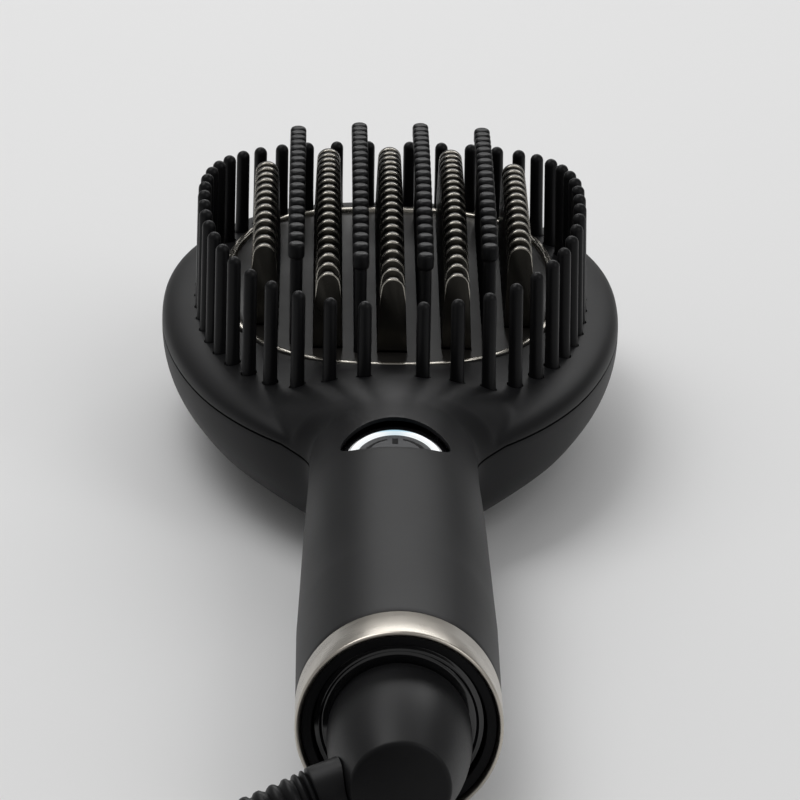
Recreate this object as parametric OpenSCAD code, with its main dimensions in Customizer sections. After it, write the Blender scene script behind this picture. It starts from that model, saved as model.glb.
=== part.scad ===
// Heated straightening paddle brush, lying on its back with the bristles up.
// +Y runs from the cord end of the handle to the tip of the head, +Z is up.
// Most places are given by their station: the distance from the rear face of
// the metal end ring, measured along the handle towards the head.

/* [Handle] */
// Diameter of the handle and its metal ring at the cord end
handle_d = 36; // [34:0.5:40]
// Diameter of the handle where it runs into the head
neck_d = 32; // [30:0.5:34]
// Rise of the handle's centre line between its cord end and the button
handle_rise = 2; // [0:0.25:2.5]
// Wall of the moulded housing
wall = 2.2; // [1.8:0.1:2.6]
// Length of the metal end ring
ring_l = 10; // [8:0.5:12]
// Wall of the metal end ring
ring_t = 1; // [0.8:0.1:1.4]

/* [Head] */
// Width of the head across the seam
head_w = 92; // [90:1:100]
// Station of the widest line of the head
head_c = 205; // [202:1:208]
// Length of the head from its widest line back to the neck
head_back = 84; // [82:1:88]
// Length of the head from its widest line to its tip
head_front = 64; // [63:1:70]
// Height of the seam between the covers above the table
seam_z = 22; // [21:0.5:23]
// Rise of the top cover above the seam
deck_h = 6.8; // [6:0.2:7.6]
// Gap shown between the two covers
seam_gap = 0.4; // [0.2:0.1:0.8]

/* [Guard pins] */
// Number of guard pins on each side of the head
guard_n = 23; // [15:1:26]
// Diameter of a guard pin
guard_d = 2.7; // [2:0.1:2.8]
// Width of the oval that the guard pins stand on
guard_w = 76; // [74:1:78]
// Height of the tallest guard pins above the table
guard_top = 49.5; // [46:0.5:54]
// Inward lean of the guard pins, in degrees
guard_lean = 1; // [0:0.5:4]
// Free opening between the middle pins at the handle end
guard_gap_back = 11.3; // [9:0.1:13]
// Free opening between the middle pins at the tip
guard_gap_front = 8.7; // [7:0.1:11]

/* [Heated field] */
// Width of the heated plate
plate_w = 67; // [66:0.5:68]
// Length of the heated plate
plate_l = 97.5; // [93:0.5:99]
// Thickness of the heated plate
plate_t = 2; // [1.6:0.1:2.4]
// Spacing of the fins and of the knobs along a row
row_pitch = 4.4; // [4.2:0.05:4.5]
// Spacing between neighbouring rows of fins
row_step = 12.65; // [12.4:0.05:12.8]
// Width of one fin
fin_w = 4.8; // [4.6:0.1:5.6]
// Thickness of one fin
fin_t = 1.4; // [1:0.1:1.8]
// Height of the tallest fins above the table
fin_top = 45.5; // [42:0.5:48]
// Diameter of a knob
knob_d = 3.3; // [3.2:0.1:3.8]
// Diameter of a knob's stem
stem_d = 2.4; // [2:0.1:2.8]
// Height of the tallest knobs above the table
knob_top = 50.6; // [48:0.2:53]
// Radius of the gentle arch that the tips follow along the head
arch_r = 335; // [280:5:500]

/* [Power button] */
// Distance from the button's centre to the neck, where the head begins
button_back = 22; // [20:0.5:25]
// Diameter of the round recess round the button
recess_d = 20.6; // [19:0.2:22]
// Outer diameter of the light ring
light_d = 17; // [16:0.2:18]
// Width of the light ring
light_w = 1.2; // [1:0.1:1.8]
// Gap round the moving cap
button_gap = 0.35; // [0.3:0.05:0.5]
// Depth of the recess floor and the light ring below the top of the handle
recess_depth = 2.9; // [2.4:0.1:3.2]
// Travel of the button
button_travel = 0.8; // [0.4:0.1:1]

/* [Swivel] */
// Diameter of the swivel boot at its flange
boot_d = 25; // [23:0.5:27]
// Diameter of the swivel boot at its tip
boot_tip_d = 17.5; // [16:0.5:20]
// Length that the boot stands out behind the end ring
boot_l = 26; // [20:1:30]
// Diameter of the bearing bore in the end cap
bearing_d = 14; // [13:0.5:15]
// Radial clearance of the boot's journal in its bearing
bearing_clear = 0.06; // [0.03:0.01:0.1]

/* [Cord] */
// Diameter of the mains lead
cord_d = 6.5; // [6:0.1:7]
// Radius of the middle of the stored coil's turns
coil_r = 38; // [36:1:42]
// Turns in each layer of the stored coil
coil_turns = 2; // [1:1:2]
// Clear distance between neighbouring turns and layers
coil_clear = 0.6; // [0.5:0.1:1]

/* [Hidden] */
$fn = 48;

// colours
black_soft = [0.05, 0.05, 0.055];
black_gloss = [0.02, 0.02, 0.022];
black_plain = [0.08, 0.08, 0.085];
titanium = [0.42, 0.40, 0.37];
nickel = [0.72, 0.69, 0.63];
brass = [0.80, 0.66, 0.35];
ceramic = [0.88, 0.87, 0.83];
board_green = [0.10, 0.33, 0.18];
light_white = [0.88, 0.96, 1.0];
steel = [0.66, 0.67, 0.69];

// the object stands centred on the origin, without its cord
origin_s = (head_c + head_front - boot_l) / 2;
axis_z = handle_d / 2;
fit = 0.2;
slide = 0.3;
eps = 0.01;

// ---- shape of the housing -------------------------------------------------
// where the shape changes, all set by the neck, the head and the end ring
neck_s = head_c - head_back;
button_s = neck_s - button_back;
taper_start = ring_l + 32;
taper_end = neck_s - 1;
lift_start = neck_s - 17;
lift_end = neck_s + 11;
rise_end = button_s - 11;
sink_end = neck_s + 4;
hood_start = neck_s + 4;
hood_fade = head_c - 20;
hood_open_start = neck_s - 6;
hood_open_end = neck_s + 20;
side_start = head_c - 55;
side_fade = head_c - 5;
belly_start = neck_s - 11;
belly_end = neck_s + 39;
hood_grow = 8;
hood_blend = 6;
section_steps = 20;

function ease(a, b, s) = let (u = min(1, max(0, (s - a) / (b - a)))) u * u * (3 - 2 * u);
function sup(u, n) = abs(u) >= 1 ? 0 : pow(1 - pow(abs(u), n), 1 / n);
function blend_max(a, b, n) = pow(pow(max(0, a), n) + pow(max(0, b), n), 1 / n);
function handle_r(s) = handle_d / 2 - 0.05
    - (handle_d - neck_d) / 2 * min(1, max(0, (s - taper_start) / (taper_end - taper_start)));
function axis_h(s) = axis_z
    + handle_rise * (ease(taper_start, rise_end, s) - ease(rise_end, sink_end, s));
function mid_h(s) = axis_h(s) + (seam_z - axis_h(s)) * ease(lift_start, lift_end, s);
function head_u(s, t) = (s - head_c) / (s < head_c ? head_back - t : head_front - t);
function head_half(s, t) = (head_w / 2 - t) * sup(head_u(s, t), s < head_c ? 2 : 2.3);
function side_half(s, t) = s < head_c
    ? blend_max((handle_r(s) - t) * (1 - ease(side_start, side_fade, s)), head_half(s, t), 4)
    : max(0.6, head_half(s, t));
function deck(s, t) = max(0, (deck_h - t) * sup(head_u(s, t), s < head_c ? 2.5 : 3.2));
function hood_h(s) = (axis_h(s) + handle_r(s) - mid_h(s)) * (1 - ease(hood_start, hood_fade, s));
function hood_half(s) =
    min(side_half(s, 0), handle_r(s) + hood_grow * ease(hood_open_start, hood_open_end, s));
function top_h(x, s, t) =
    let (high = max(0.01, hood_h(s) - t), wide = max(0.01, hood_half(s) - t), w = side_half(s, t))
    mid_h(s) + blend_max(high * sup(x / wide, 2), deck(s, t) * sup(x / w, 3), hood_blend);
function bowl(s, t) =
    blend_max((mid_h(s) - axis_h(s) + handle_r(s) - t) * (1 - ease(side_start, side_fade, s)),
              (seam_z + 0.5 - t) * sup(head_u(s, t), 2.6), 12);
function low_n(s) = 2 + 0.4 * ease(belly_start, belly_end, s);
function bottom_h(x, s, t) = mid_h(s) - bowl(s, t) * sup(x / side_half(s, t), low_n(s));

// one closed ring of points round the housing at a station
function section(s, t) = concat(
    [for (i = [0 : section_steps])
        let (x = side_half(s, t) * cos(180 * i / section_steps))
        [x, s, i == 0 || i == section_steps ? mid_h(s) : top_h(x, s, t)]],
    [for (i = [1 : section_steps - 1])
        let (x = -side_half(s, t) * cos(180 * i / section_steps)) [x, s, bottom_h(x, s, t)]]);

function head_stations(t) = concat(
    [for (a = [-86 : 6 : -2]) head_c + (head_back - t) * sin(a)],
    [for (a = [6 : 8 : 78]) head_c + (head_front - t) * sin(a)],
    [for (a = [83, 88]) head_c + (head_front - t) * sin(a)]);

// solid through rings of points, all of one length
module loft(rings) {
    n = len(rings[0]);
    m = len(rings);
    side = [for (j = [0 : m - 2], i = [0 : n - 1], k = [0, 1])
        let (a = j * n + i, b = j * n + (i + 1) % n)
        k == 0 ? [a, b, b + n] : [a, b + n, a + n]];
    cap_a = [for (i = [1 : n - 2]) [0, i + 1, i]];
    cap_b = [for (i = [1 : n - 2]) [(m - 1) * n, (m - 1) * n + i, (m - 1) * n + i + 1]];
    polyhedron([for (r = rings, p = r) p], concat(cap_a, cap_b, side));
}

module housing_form(t, start) {
    handle_stations = [for (i = [0 : 5]) taper_start + (lift_start - taper_start) * i / 5];
    loft([for (s = concat([start], handle_stations, [neck_s - 9, neck_s - 3], head_stations(t)))
        section(s, t)]);
}

// everything is placed by its station
module placed() {
    translate([0, -origin_s, 0]) children();
}

// turns a shape drawn round Z so that it stands round the handle's axis, growing to +Y
module along_axis(s) {
    translate([0, s, axis_z]) rotate([-90, 0, 0]) children();
}

// ---- ovals ----------------------------------------------------------------
guard_back = head_back - 20;
guard_front = head_front - 8;
guard_n_back = 2.5;
guard_n_front = 2.2;
plate_c = head_c + 0.75;
plate_n_back = 2.5;
plate_n_front = 2.8;

function oval_half(s, c, back, front, half, n_back, n_front) =
    half * (s < c ? sup((s - c) / back, n_back) : sup((s - c) / front, n_front));
function guard_half(s) =
    oval_half(s, head_c, guard_back, guard_front, guard_w / 2, guard_n_back, guard_n_front);
function plate_half(s) =
    oval_half(s, plate_c, plate_l / 2, plate_l / 2, plate_w / 2, plate_n_back, plate_n_front);
function guard_point(a) =
    let (s = head_c + (cos(a) < 0 ? guard_back : guard_front) * cos(a)) [guard_half(s), s];
function plate_point(a) = let (s = plate_c + plate_l / 2 * cos(a)) [plate_half(s), s];

// outline of an oval from its right-hand half, given from the tip back
function both_sides(right) =
    concat(right, [for (i = [len(right) - 2 : -1 : 1]) [-right[i][0], right[i][1]]]);
guard_line = [for (a = [0 : 5 : 180]) guard_point(a)];
plate_line = [for (a = [0 : 5 : 180]) plate_point(a)];

module guard_shape(grow) { offset(delta = grow) polygon(both_sides(guard_line)); }
module plate_shape(grow) { offset(delta = grow) polygon(both_sides(plate_line)); }

// guard pins at even steps along the oval, measured from the handle end
guard_fine = [for (a = [180 : -1 : 0]) guard_point(a)];
guard_run = [for (i = 0, r = 0; i < len(guard_fine);
    i = i + 1, r = r + (i < len(guard_fine) ? norm(guard_fine[i] - guard_fine[i - 1]) : 0)) r];
guard_total = guard_run[len(guard_run) - 1];
guard_table = [for (k = [0, 1]) [for (i = [0 : len(guard_run) - 1]) [guard_run[i], guard_fine[i][k]]]];
function guard_at(run) = [lookup(run, guard_table[0]), lookup(run, guard_table[1])];
guard_first = guard_gap_back / 2;
guard_last = guard_total - guard_gap_front / 2;
guard_right = [for (i = [0 : guard_n - 1])
    guard_at(guard_first + (guard_last - guard_first) * i / (guard_n - 1))];
guard_places = concat(guard_right, [for (p = guard_right) [-p[0], p[1]]]);
guard_foot = seam_z - 1;
guard_foot_t = 2;
guard_foot_w = 4;
guard_hole = 0.15;
// the pins stand on four carriers, two a side, that part between two pins
guard_part = ceil(guard_n / 2);
guard_part_s = (guard_right[guard_part - 1][1] + guard_right[guard_part][1]) / 2;

function arch(top, mid, s) = top - pow(s - mid, 2) / (2 * arch_r);
guard_arch_mid = head_c - 20;

// one guard pin standing on the carrier at a place, grown by a clearance
module guard_pin(p, grow) {
    length = arch(guard_top, guard_arch_mid, p[1]) - guard_foot;
    inward = atan2(plate_c - p[1], -p[0]);
    translate([p[0], p[1], guard_foot + guard_foot_t / 2]) rotate([0, 0, inward])
        rotate([0, guard_lean, 0]) {
            cylinder(r = guard_d / 2 + grow, h = length - guard_foot_t / 2 - guard_d / 2, $fn = 24);
            translate([0, 0, length - guard_foot_t / 2 - guard_d / 2])
                sphere(r = guard_d / 2 + grow, $fn = 24);
        }
}

// ---- covers ---------------------------------------------------------------
cover_split_s = neck_s - 6;
// the seam slopes down a little before it turns into the neck
corner_l = 14;
corner_h = 3;
opening_gap = 0.3;
far = 400;
post_d = 9;
screw_d = 2.8;
screw_head_d = 5.4;
neck_screw_places = [for (x = [-10, 10]) [x, neck_s + 12]];
tray_screw_places = [for (s = [-11.5, 14.5], x = [-22, 22]) [x, plate_c + s]];
cover_screw_places = concat(neck_screw_places, tray_screw_places);

// the space that belongs to the back cover: below the seam and ahead of the neck
module back_space(shift) {
    rotate([90, 0, 90]) translate([0, 0, -far / 2]) linear_extrude(far)
        polygon([[cover_split_s - shift, -far], [cover_split_s - shift, seam_z - corner_h + shift],
            [cover_split_s + corner_l, seam_z + shift], [far, seam_z + shift], [far, -far]]);
}

module end_spigot() {
    along_axis(1) difference() {
        cylinder(r = handle_d / 2 - ring_t - 0.1, h = ring_l + 1);
        translate([0, 0, -1]) cylinder(r = cap_r + 0.1, h = ring_l + 3);
    }
}

cap_r = handle_d / 2 - ring_t - 0.1 - 1.9;

module main_housing() {
    color(black_soft) placed() {
        difference() {
            intersection() {
                housing_form(0, ring_l);
                translate([-far / 2, 0, 0]) cube([far, far, far]);
            }
            difference() {
                housing_form(wall, ring_l - 1);
                board_posts();
                cover_posts();
            }
            back_space(seam_gap / 2);
            translate([0, 0, seam_z - 3]) linear_extrude(20) plate_shape(opening_gap);
            for (p = guard_places) guard_pin(p, guard_hole);
            translate([0, button_s, recess_z - recess_reach]) cylinder(d = recess_d, h = 2 * recess_reach);
            for (p = neck_screw_places)
                translate([p[0], p[1], seam_z - 1]) cylinder(d = screw_core_d, h = 5, $fn = 24);
            for (p = board_screw_places)
                translate([p[0], p[1], board_top - 1]) cylinder(d = 1.8, h = 6, $fn = 24);
        }
        end_spigot();
    }
}

// posts that hang from the top cover to the circuit board
module board_posts() {
    for (p = board_screw_places)
        translate([p[0], p[1], board_top]) cylinder(d = 5, h = 14, $fn = 32);
}

// posts that hang from the top cover to take the two neck screws
module cover_posts() {
    for (p = neck_screw_places)
        translate([p[0], p[1], seam_z + 0.2]) cylinder(d = post_d, h = 8, $fn = 32);
}

module back_cover() {
    color(black_soft) placed() {
        difference() {
            intersection() {
                housing_form(0, ring_l);
                translate([-far / 2, 0, 0]) cube([far, far, far]);
                back_space(-seam_gap / 2);
            }
            difference() {
                housing_form(wall, ring_l - 1);
                for (p = neck_screw_places)
                    translate([p[0], p[1], 0]) cylinder(d = post_d, h = seam_z - seam_gap / 2, $fn = 32);
                for (p = tray_screw_places)
                    translate([p[0], p[1], 0]) cylinder(d = post_d, h = tray_z - 0.05, $fn = 32);
            }
            for (p = cover_screw_places) translate([p[0], p[1], 0]) {
                translate([0, 0, -1]) cylinder(d = screw_d + 0.4, h = seam_z + 2, $fn = 24);
                translate([0, 0, -1]) cylinder(d = screw_head_d + 0.6, h = screw_seat + 1, $fn = 32);
            }
        }
    }
}
screw_seat = 12;
screw_core_d = 2.2;

// ---- heated field ---------------------------------------------------------
plate_top = seam_z + 5.6;
rim_h = 0.9;
rim_w = 1.3;
strip_t = 1.2;
strip_w = 5;
tray_z = 15;
tray_wall = 1.6;
tray_in = 1;
heater_w = 6.4;
heater_t = 4;
heater_l = 56;
clamp_t = 1;

fin_row_x = [-2 * row_step, -row_step, 0, row_step, 2 * row_step];
fin_row_share = [0.59, 0.86, 0.91, 0.86, 0.59];
knob_row_x = [-1.5 * row_step, -0.5 * row_step, 0.5 * row_step, 1.5 * row_step];
knob_row_share = [0.82, 0.91, 0.91, 0.82];
row_mid = plate_c + 2.75;

// stations of the fins or knobs of a row that takes a share of the plate's length
function row_places(share) =
    let (n = floor(plate_l * share / row_pitch))
    [for (i = [0 : n - 1]) row_mid + row_pitch * (i - (n - 1) / 2)];

module heater_plate() {
    color(titanium) placed() difference() {
        union() {
            translate([0, 0, plate_top - plate_t]) linear_extrude(plate_t) plate_shape(0);
            translate([0, 0, plate_top - plate_t]) linear_extrude(plate_t + rim_h) difference() {
                plate_shape(0);
                plate_shape(-rim_w);
            }
        }
        for (r = [0 : 3], s = row_places(knob_row_share[r]))
            translate([knob_row_x[r], s, plate_top - plate_t - 1])
                cylinder(d = stem_d + 2 * fit, h = plate_t + 2, $fn = 16);
    }
}

// one fin: a flat tongue with a round top, standing across its row
fin_flare = 0.55;
fin_foot = 0.8;
module fin(top) {
    rotate([90, 0, 0]) translate([0, 0, -fin_t / 2]) linear_extrude(fin_t) {
        translate([0, top - fin_w / 2]) circle(d = fin_w, $fn = 32);
        polygon([[-fin_w / 2 - fin_flare, plate_top], [fin_w / 2 + fin_flare, plate_top],
            [fin_w / 2, top - fin_w / 2], [-fin_w / 2, top - fin_w / 2]]);
    }
}

module fin_row(r) {
    color(titanium) placed() translate([fin_row_x[r], 0, 0]) {
        stations = row_places(fin_row_share[r]);
        for (s = stations) translate([0, s, 0]) fin(arch(fin_top, row_mid, s));
        translate([-fin_w / 2 - fin_flare, stations[0] - fin_t / 2, plate_top])
            cube([fin_w + 2 * fin_flare, stations[len(stations) - 1] - stations[0] + fin_t, fin_foot]);
    }
}

// one knob: a short barrel with eased edges on a thinner stem
knob_ease = 1;
knob_step = 0.6;
module knob(top, foot) {
    length = top - foot;
    start = length - knob_d;
    rotate_extrude($fn = 24) polygon([[0, 0], [stem_d / 2, 0], [stem_d / 2, start],
        [knob_d / 2, start + knob_step], [knob_d / 2, length - knob_ease],
        [knob_d / 2 - 0.3 * knob_ease, length - 0.3 * knob_ease],
        [knob_d / 2 - knob_ease, length], [0, length]]);
}

module knob_row(r) {
    color(black_plain) placed() {
        stations = row_places(knob_row_share[r]);
        foot = plate_top - plate_t - strip_t;
        for (s = stations) translate([knob_row_x[r], s, foot]) knob(arch(knob_top, row_mid, s), foot);
        // the strip under the plate, kept inside the tray
        translate([0, 0, foot]) linear_extrude(strip_t - 0.05) intersection() {
            translate([knob_row_x[r] - strip_w / 2, stations[0] - strip_w / 2])
                square([strip_w, stations[len(stations) - 1] - stations[0] + strip_w]);
            plate_shape(-tray_in - tray_wall - slide);
        }
    }
}

// guard pins of one side, those towards the handle or those towards the tip
module guard_bristles(side, towards) {
    color(black_plain) placed() {
        translate([0, 0, guard_foot]) linear_extrude(guard_foot_t) intersection() {
            difference() {
                guard_shape(guard_foot_w / 2);
                guard_shape(-guard_foot_w / 2);
            }
            translate([side * (far + slide) / 2, guard_part_s + towards * (far + slide) / 2])
                square(far, center = true);
        }
        for (i = [0 : guard_n - 1]) if ((i < guard_part) == (towards < 0))
            guard_pin([side * guard_right[i][0], guard_right[i][1]], 0);
    }
}

// tray that holds the plate's edge and keeps its heat from the covers
module insulator_tray() {
    color(ceramic) placed() difference() {
        union() {
            translate([0, 0, tray_z]) linear_extrude(tray_wall) plate_shape(-tray_in);
            translate([0, 0, tray_z]) linear_extrude(plate_top - plate_t - tray_z) difference() {
                plate_shape(-tray_in);
                plate_shape(-tray_in - tray_wall);
            }
            for (p = clamp_screw_places) translate([p[0], p[1], tray_z])
                cylinder(d = 5, h = clamp_z - tray_z, $fn = 32);
            for (p = tray_screw_places) translate([p[0], p[1], tray_z])
                cylinder(d = 6, h = tray_boss_h, $fn = 32);
        }
        for (p = clamp_screw_places) translate([p[0], p[1], tray_z + 2])
            cylinder(d = clamp_screw_d, h = clamp_z, $fn = 24);
        for (p = tray_screw_places) translate([p[0], p[1], tray_z - 1])
            cylinder(d = screw_core_d, h = tray_boss_h, $fn = 24);
        translate([-wire_x - 2, plate_c - plate_l / 2 - 1, tray_z + 2.4]) cube([2 * wire_x + 4, 8, 5]);
    }
}
tray_boss_h = 5;
clamp_screw_d = 1.8;
clamp_screw_s = 22;
clamp_head_d = 3.4;
clamp_screw_x = row_step + heater_w / 2 + clamp_head_d / 2 + slide;
clamp_screw_places = [for (x = [-1, 1], s = [-1, 1]) [x * clamp_screw_x, plate_c + s * clamp_screw_s]];
clamp_z = plate_top - plate_t - heater_t - clamp_t - 0.05;

module ptc_heaters() {
    color(ceramic) placed() for (x = [-row_step, row_step])
        translate([x - heater_w / 2, plate_c - heater_l / 2, plate_top - plate_t - heater_t])
            cube([heater_w, heater_l, heater_t]);
}

// two spring bars that press the heaters against the plate
module heater_clamp() {
    bar = 2 * clamp_screw_x + 7;
    color(steel) placed() difference() {
        for (s = [-1, 1]) translate([-bar / 2, plate_c + s * clamp_screw_s - 4, clamp_z])
            cube([bar, 8, clamp_t]);
        for (p = clamp_screw_places) translate([p[0], p[1], clamp_z - 1])
            cylinder(d = clamp_screw_d + 0.4, h = clamp_t + 2, $fn = 24);
    }
}

module clamp_screws() {
    color(steel) placed() for (p = clamp_screw_places) translate([p[0], p[1], clamp_z]) {
        translate([0, 0, -3]) cylinder(d = clamp_screw_d, h = 3 + clamp_t + eps, $fn = 24);
        translate([0, 0, clamp_t]) cylinder(d = clamp_head_d, h = 1.3, $fn = 24);
    }
}

fuse_d = 4;
module thermal_fuse() {
    color(steel) placed() translate([0, plate_c + 6, plate_top - plate_t - fuse_d / 2])
        rotate([-90, 0, 0]) {
            cylinder(d = fuse_d, h = 11);
            translate([0, 0, -5]) cylinder(d = 1, h = 21, $fn = 16);
        }
}

module temperature_sensor() {
    color(ceramic) placed() translate([0, plate_c - 14, plate_top - plate_t - 1.3])
        rotate([-90, 0, 0]) {
            cylinder(d = 2.6, h = 6);
            translate([0, 0, -8]) cylinder(d = 1, h = 9, $fn = 16);
        }
}

// ---- circuit board and button --------------------------------------------
recess_z = axis_h(button_s) + handle_r(button_s) - recess_depth;
recess_reach = 6;
// the recess floor, the light and the button are gently arched across the handle
recess_arch = 24;
board_drop = 11.2;
board_top = recess_z - board_drop;
board_t = 1.6;
board_w = 22;
board_l = 56;
board_start = button_s - 27;
board_screw_places = [[-7.5, board_start + 4], [7.5, board_start + board_l - 6]];
switch_body = 3.5;
switch_stem = 1.5;
cap_drop = 0.5;
cap_t = 2.2;
bezel_floor = 1;
light_l = 3;
cap_d = light_d - 2 * light_w - 2 * button_gap;
cap_top = recess_z - cap_drop;
pocket_z = cap_top - cap_t - button_travel - slide;

module under_arch(top) {
    translate([0, button_s, top - recess_arch]) rotate([90, 0, 0])
        cylinder(r = recess_arch, h = 2 * recess_d, center = true, $fn = 128);
}

module control_board() {
    color(board_green) placed() difference() {
        translate([-board_w / 2, board_start, board_top - board_t]) cube([board_w, board_l, board_t]);
        for (p = board_screw_places)
            translate([p[0], p[1], board_top - board_t - 1]) cylinder(d = 2.3, h = board_t + 2, $fn = 24);
    }
}

// transformer, driver, relay and choke: place on the board, then size
board_parts = [[[-4, 8], [8, 12, 4]], [[-9, 38], [5, 5, 1.6]], [[1, 40], [8, 6, 5]], [[-6, 45], [4, 6, 3]]];
capacitor_at = [7.5, 14];
capacitor_d = 5;
capacitor_h = 7;
module board_components() {
    color(black_plain) placed() translate([0, board_start, board_top]) {
        for (b = board_parts) translate([b[0][0], b[0][1], 0]) cube(b[1]);
        translate([capacitor_at[0], capacitor_at[1], 0]) cylinder(d = capacitor_d, h = capacitor_h);
    }
}

module tact_switch() {
    color(black_gloss) placed() translate([0, button_s, board_top]) {
        translate([-3, -3, 0]) cube([6, 6, switch_body]);
        cylinder(d = 3.4, h = switch_body + switch_stem, $fn = 32);
    }
}

module button_bezel() {
    color(black_gloss) placed() difference() {
        intersection() {
            translate([0, button_s, pocket_z - bezel_floor])
                cylinder(d = recess_d - 0.1, h = recess_z - pocket_z + 2 * bezel_floor, $fn = 64);
            under_arch(recess_z);
        }
        translate([0, button_s, recess_z - light_l]) cylinder(d = light_d + 0.1, h = 10, $fn = 64);
        translate([0, button_s, pocket_z]) cylinder(d = light_d - 2 * light_w, h = 10, $fn = 64);
        translate([0, button_s, 0]) cylinder(d = 4.8, h = 40, $fn = 32);
    }
}

module light_ring() {
    color(light_white) placed() intersection() {
        translate([0, button_s, recess_z - light_l]) difference() {
            cylinder(d = light_d, h = light_l + 1, $fn = 64);
            translate([0, 0, -1]) cylinder(d = light_d - 2 * light_w, h = light_l + 3, $fn = 64);
        }
        under_arch(recess_z);
    }
}

module power_button() {
    color(black_plain) placed() intersection() {
        translate([0, button_s, cap_top - cap_t]) cylinder(d = cap_d, h = cap_t + 1, $fn = 64);
        under_arch(cap_top);
    }
}

module switch_plunger() {
    foot = board_top + switch_body + switch_stem + button_travel + 0.15;
    color(black_plain) placed() translate([0, button_s, foot])
        cylinder(d = 4, h = cap_top - cap_t - foot, $fn = 32);
}

// ---- cord end of the handle ----------------------------------------------
cap_face = 2;
cap_hub_end = 20;
journal_r = bearing_d / 2 - bearing_clear;
contact_r = 5.4;
spindle_r = contact_r - 1.2;
slip_gap = 0.02;
slip_l = 2.6;
slip_s = [cap_hub_end + 5, cap_hub_end + 9.2];
contact_end = cap_hub_end + 13;
block_start = cap_hub_end + 4;
block_end = cap_hub_end + 14;

module end_ring() {
    color(nickel) placed() along_axis(0) difference() {
        cylinder(d = handle_d, h = ring_l - 0.1, $fn = 96);
        translate([0, 0, -1]) cylinder(d = handle_d - 2 * ring_t, h = ring_l + 2, $fn = 96);
    }
}

module end_cap() {
    color(black_gloss) placed() along_axis(0) difference() {
        union() {
            translate([0, 0, cap_face]) cylinder(r = cap_r, h = 4, $fn = 64);
            translate([0, 0, cap_face]) cylinder(r = bearing_d / 2 + 3, h = cap_hub_end - cap_face);
        }
        translate([0, 0, -1]) cylinder(r = bearing_d / 2, h = cap_hub_end + 2, $fn = 64);
    }
}

// boot, journal and the spindle that carries the slip rings, turned round one axis
boot_steps = 6;
boot_ease = 0.8;
boot_belly_l = 5;
boot_belly = [for (i = [0 : boot_steps]) let (u = i / boot_steps)
    [boot_tip_d / 2 + (boot_d - boot_tip_d) / 2 * sin(90 * u),
     -boot_l + boot_ease + u * (boot_l - boot_ease - boot_belly_l)]];
module swivel_boot() {
    color(black_plain) placed() along_axis(0) rotate_extrude($fn = 64)
        polygon(concat([[0, -boot_l], [boot_tip_d / 2 - boot_ease, -boot_l]], boot_belly,
            [[boot_d / 2 - 0.3, 0], [boot_d / 2 - boot_ease, cap_face - slide], [journal_r, cap_face - slide],
             [journal_r, cap_hub_end + slide], [spindle_r, cap_hub_end + slide],
             [spindle_r, contact_end], [0, contact_end]]));
}

module slip_rings() {
    color(brass) placed() for (s = slip_s) along_axis(s) difference() {
        cylinder(r = contact_r, h = slip_l);
        translate([0, 0, -1]) cylinder(r = spindle_r + slip_gap, h = slip_l + 2);
    }
}

module swivel_retainer() {
    color(steel) placed() along_axis(cap_hub_end + slide) difference() {
        cylinder(r = bearing_d / 2 + 1.6, h = 1);
        translate([0, 0, -1]) cylinder(r = spindle_r + slip_gap, h = 3);
    }
}

module contact_block() {
    color(black_plain) placed() difference() {
        along_axis(block_start) difference() {
            cylinder(r = handle_d / 2 - wall - 0.25, h = block_end - block_start, $fn = 64);
            translate([0, 0, -1]) cylinder(r = contact_r + 1.2, h = 20);
        }
        for (s = slip_s) translate([0, s + slip_l / 2, axis_z])
            cylinder(d = brush_d + fit, h = 20, $fn = 24);
    }
}

brush_d = 2;
module contact_brushes() {
    color(brass) placed() for (s = slip_s)
        translate([0, s + slip_l / 2, axis_z + contact_r + slide]) cylinder(d = brush_d, h = 6, $fn = 24);
}

// ---- fasteners and wires --------------------------------------------------
module cover_screws() {
    color(steel) placed() {
        for (p = cover_screw_places) translate([p[0], p[1], screw_seat - 2.2])
            cylinder(d = screw_head_d, h = 2.2, $fn = 24);
        for (p = neck_screw_places) translate([p[0], p[1], screw_seat - eps])
            cylinder(d = screw_core_d, h = seam_z + 3.5 - screw_seat, $fn = 24);
        for (p = tray_screw_places) translate([p[0], p[1], screw_seat - eps])
            cylinder(d = screw_core_d, h = tray_z + 3.5 - screw_seat, $fn = 24);
    }
}

module board_screws() {
    color(steel) placed() for (p = board_screw_places) translate([p[0], p[1], 0]) {
        translate([0, 0, board_top - board_t - 0.1]) cylinder(d = 1.8, h = board_t + 4.6, $fn = 24);
        translate([0, 0, board_top - board_t - 1.6]) cylinder(d = 4, h = 1.5, $fn = 24);
    }
}

// ring of points round a point of a route, square to the direction there
function ring_round(p, d, r, sides) =
    let (dir = d / norm(d), side = cross(dir, [0, 0, 1]) / norm(cross(dir, [0, 0, 1])),
         up = cross(side, dir))
    [for (i = [0 : sides - 1]) p + r * (cos(360 * i / sides) * side + sin(360 * i / sides) * up)];
function direction(pts, i) = pts[min(len(pts) - 1, i + 1)] - pts[max(0, i - 1)];

// tube along the points of a route, with one radius for each point
module tube(pts, radii, sides) {
    loft([for (i = [0 : len(pts) - 1]) ring_round(pts[i], direction(pts, i), radii[i], sides)]);
}

// point of a smooth curve through four neighbouring points
function curve_point(a, b, c, d, u) =
    0.5 * (2 * b + u * (c - a) + u * u * (2 * a - 5 * b + 4 * c - d)
        + u * u * u * (3 * b - a - 3 * c + d));
function smooth_route(p, steps) = concat(
    [for (i = [0 : len(p) - 2], k = [0 : steps - 1])
        curve_point(p[max(0, i - 1)], p[i], p[i + 1], p[min(len(p) - 1, i + 2)], k / steps)],
    [p[len(p) - 1]]);
function route_length(p, i = 0) = i >= len(p) - 1 ? 0 : norm(p[i + 1] - p[i]) + route_length(p, i + 1);

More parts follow.
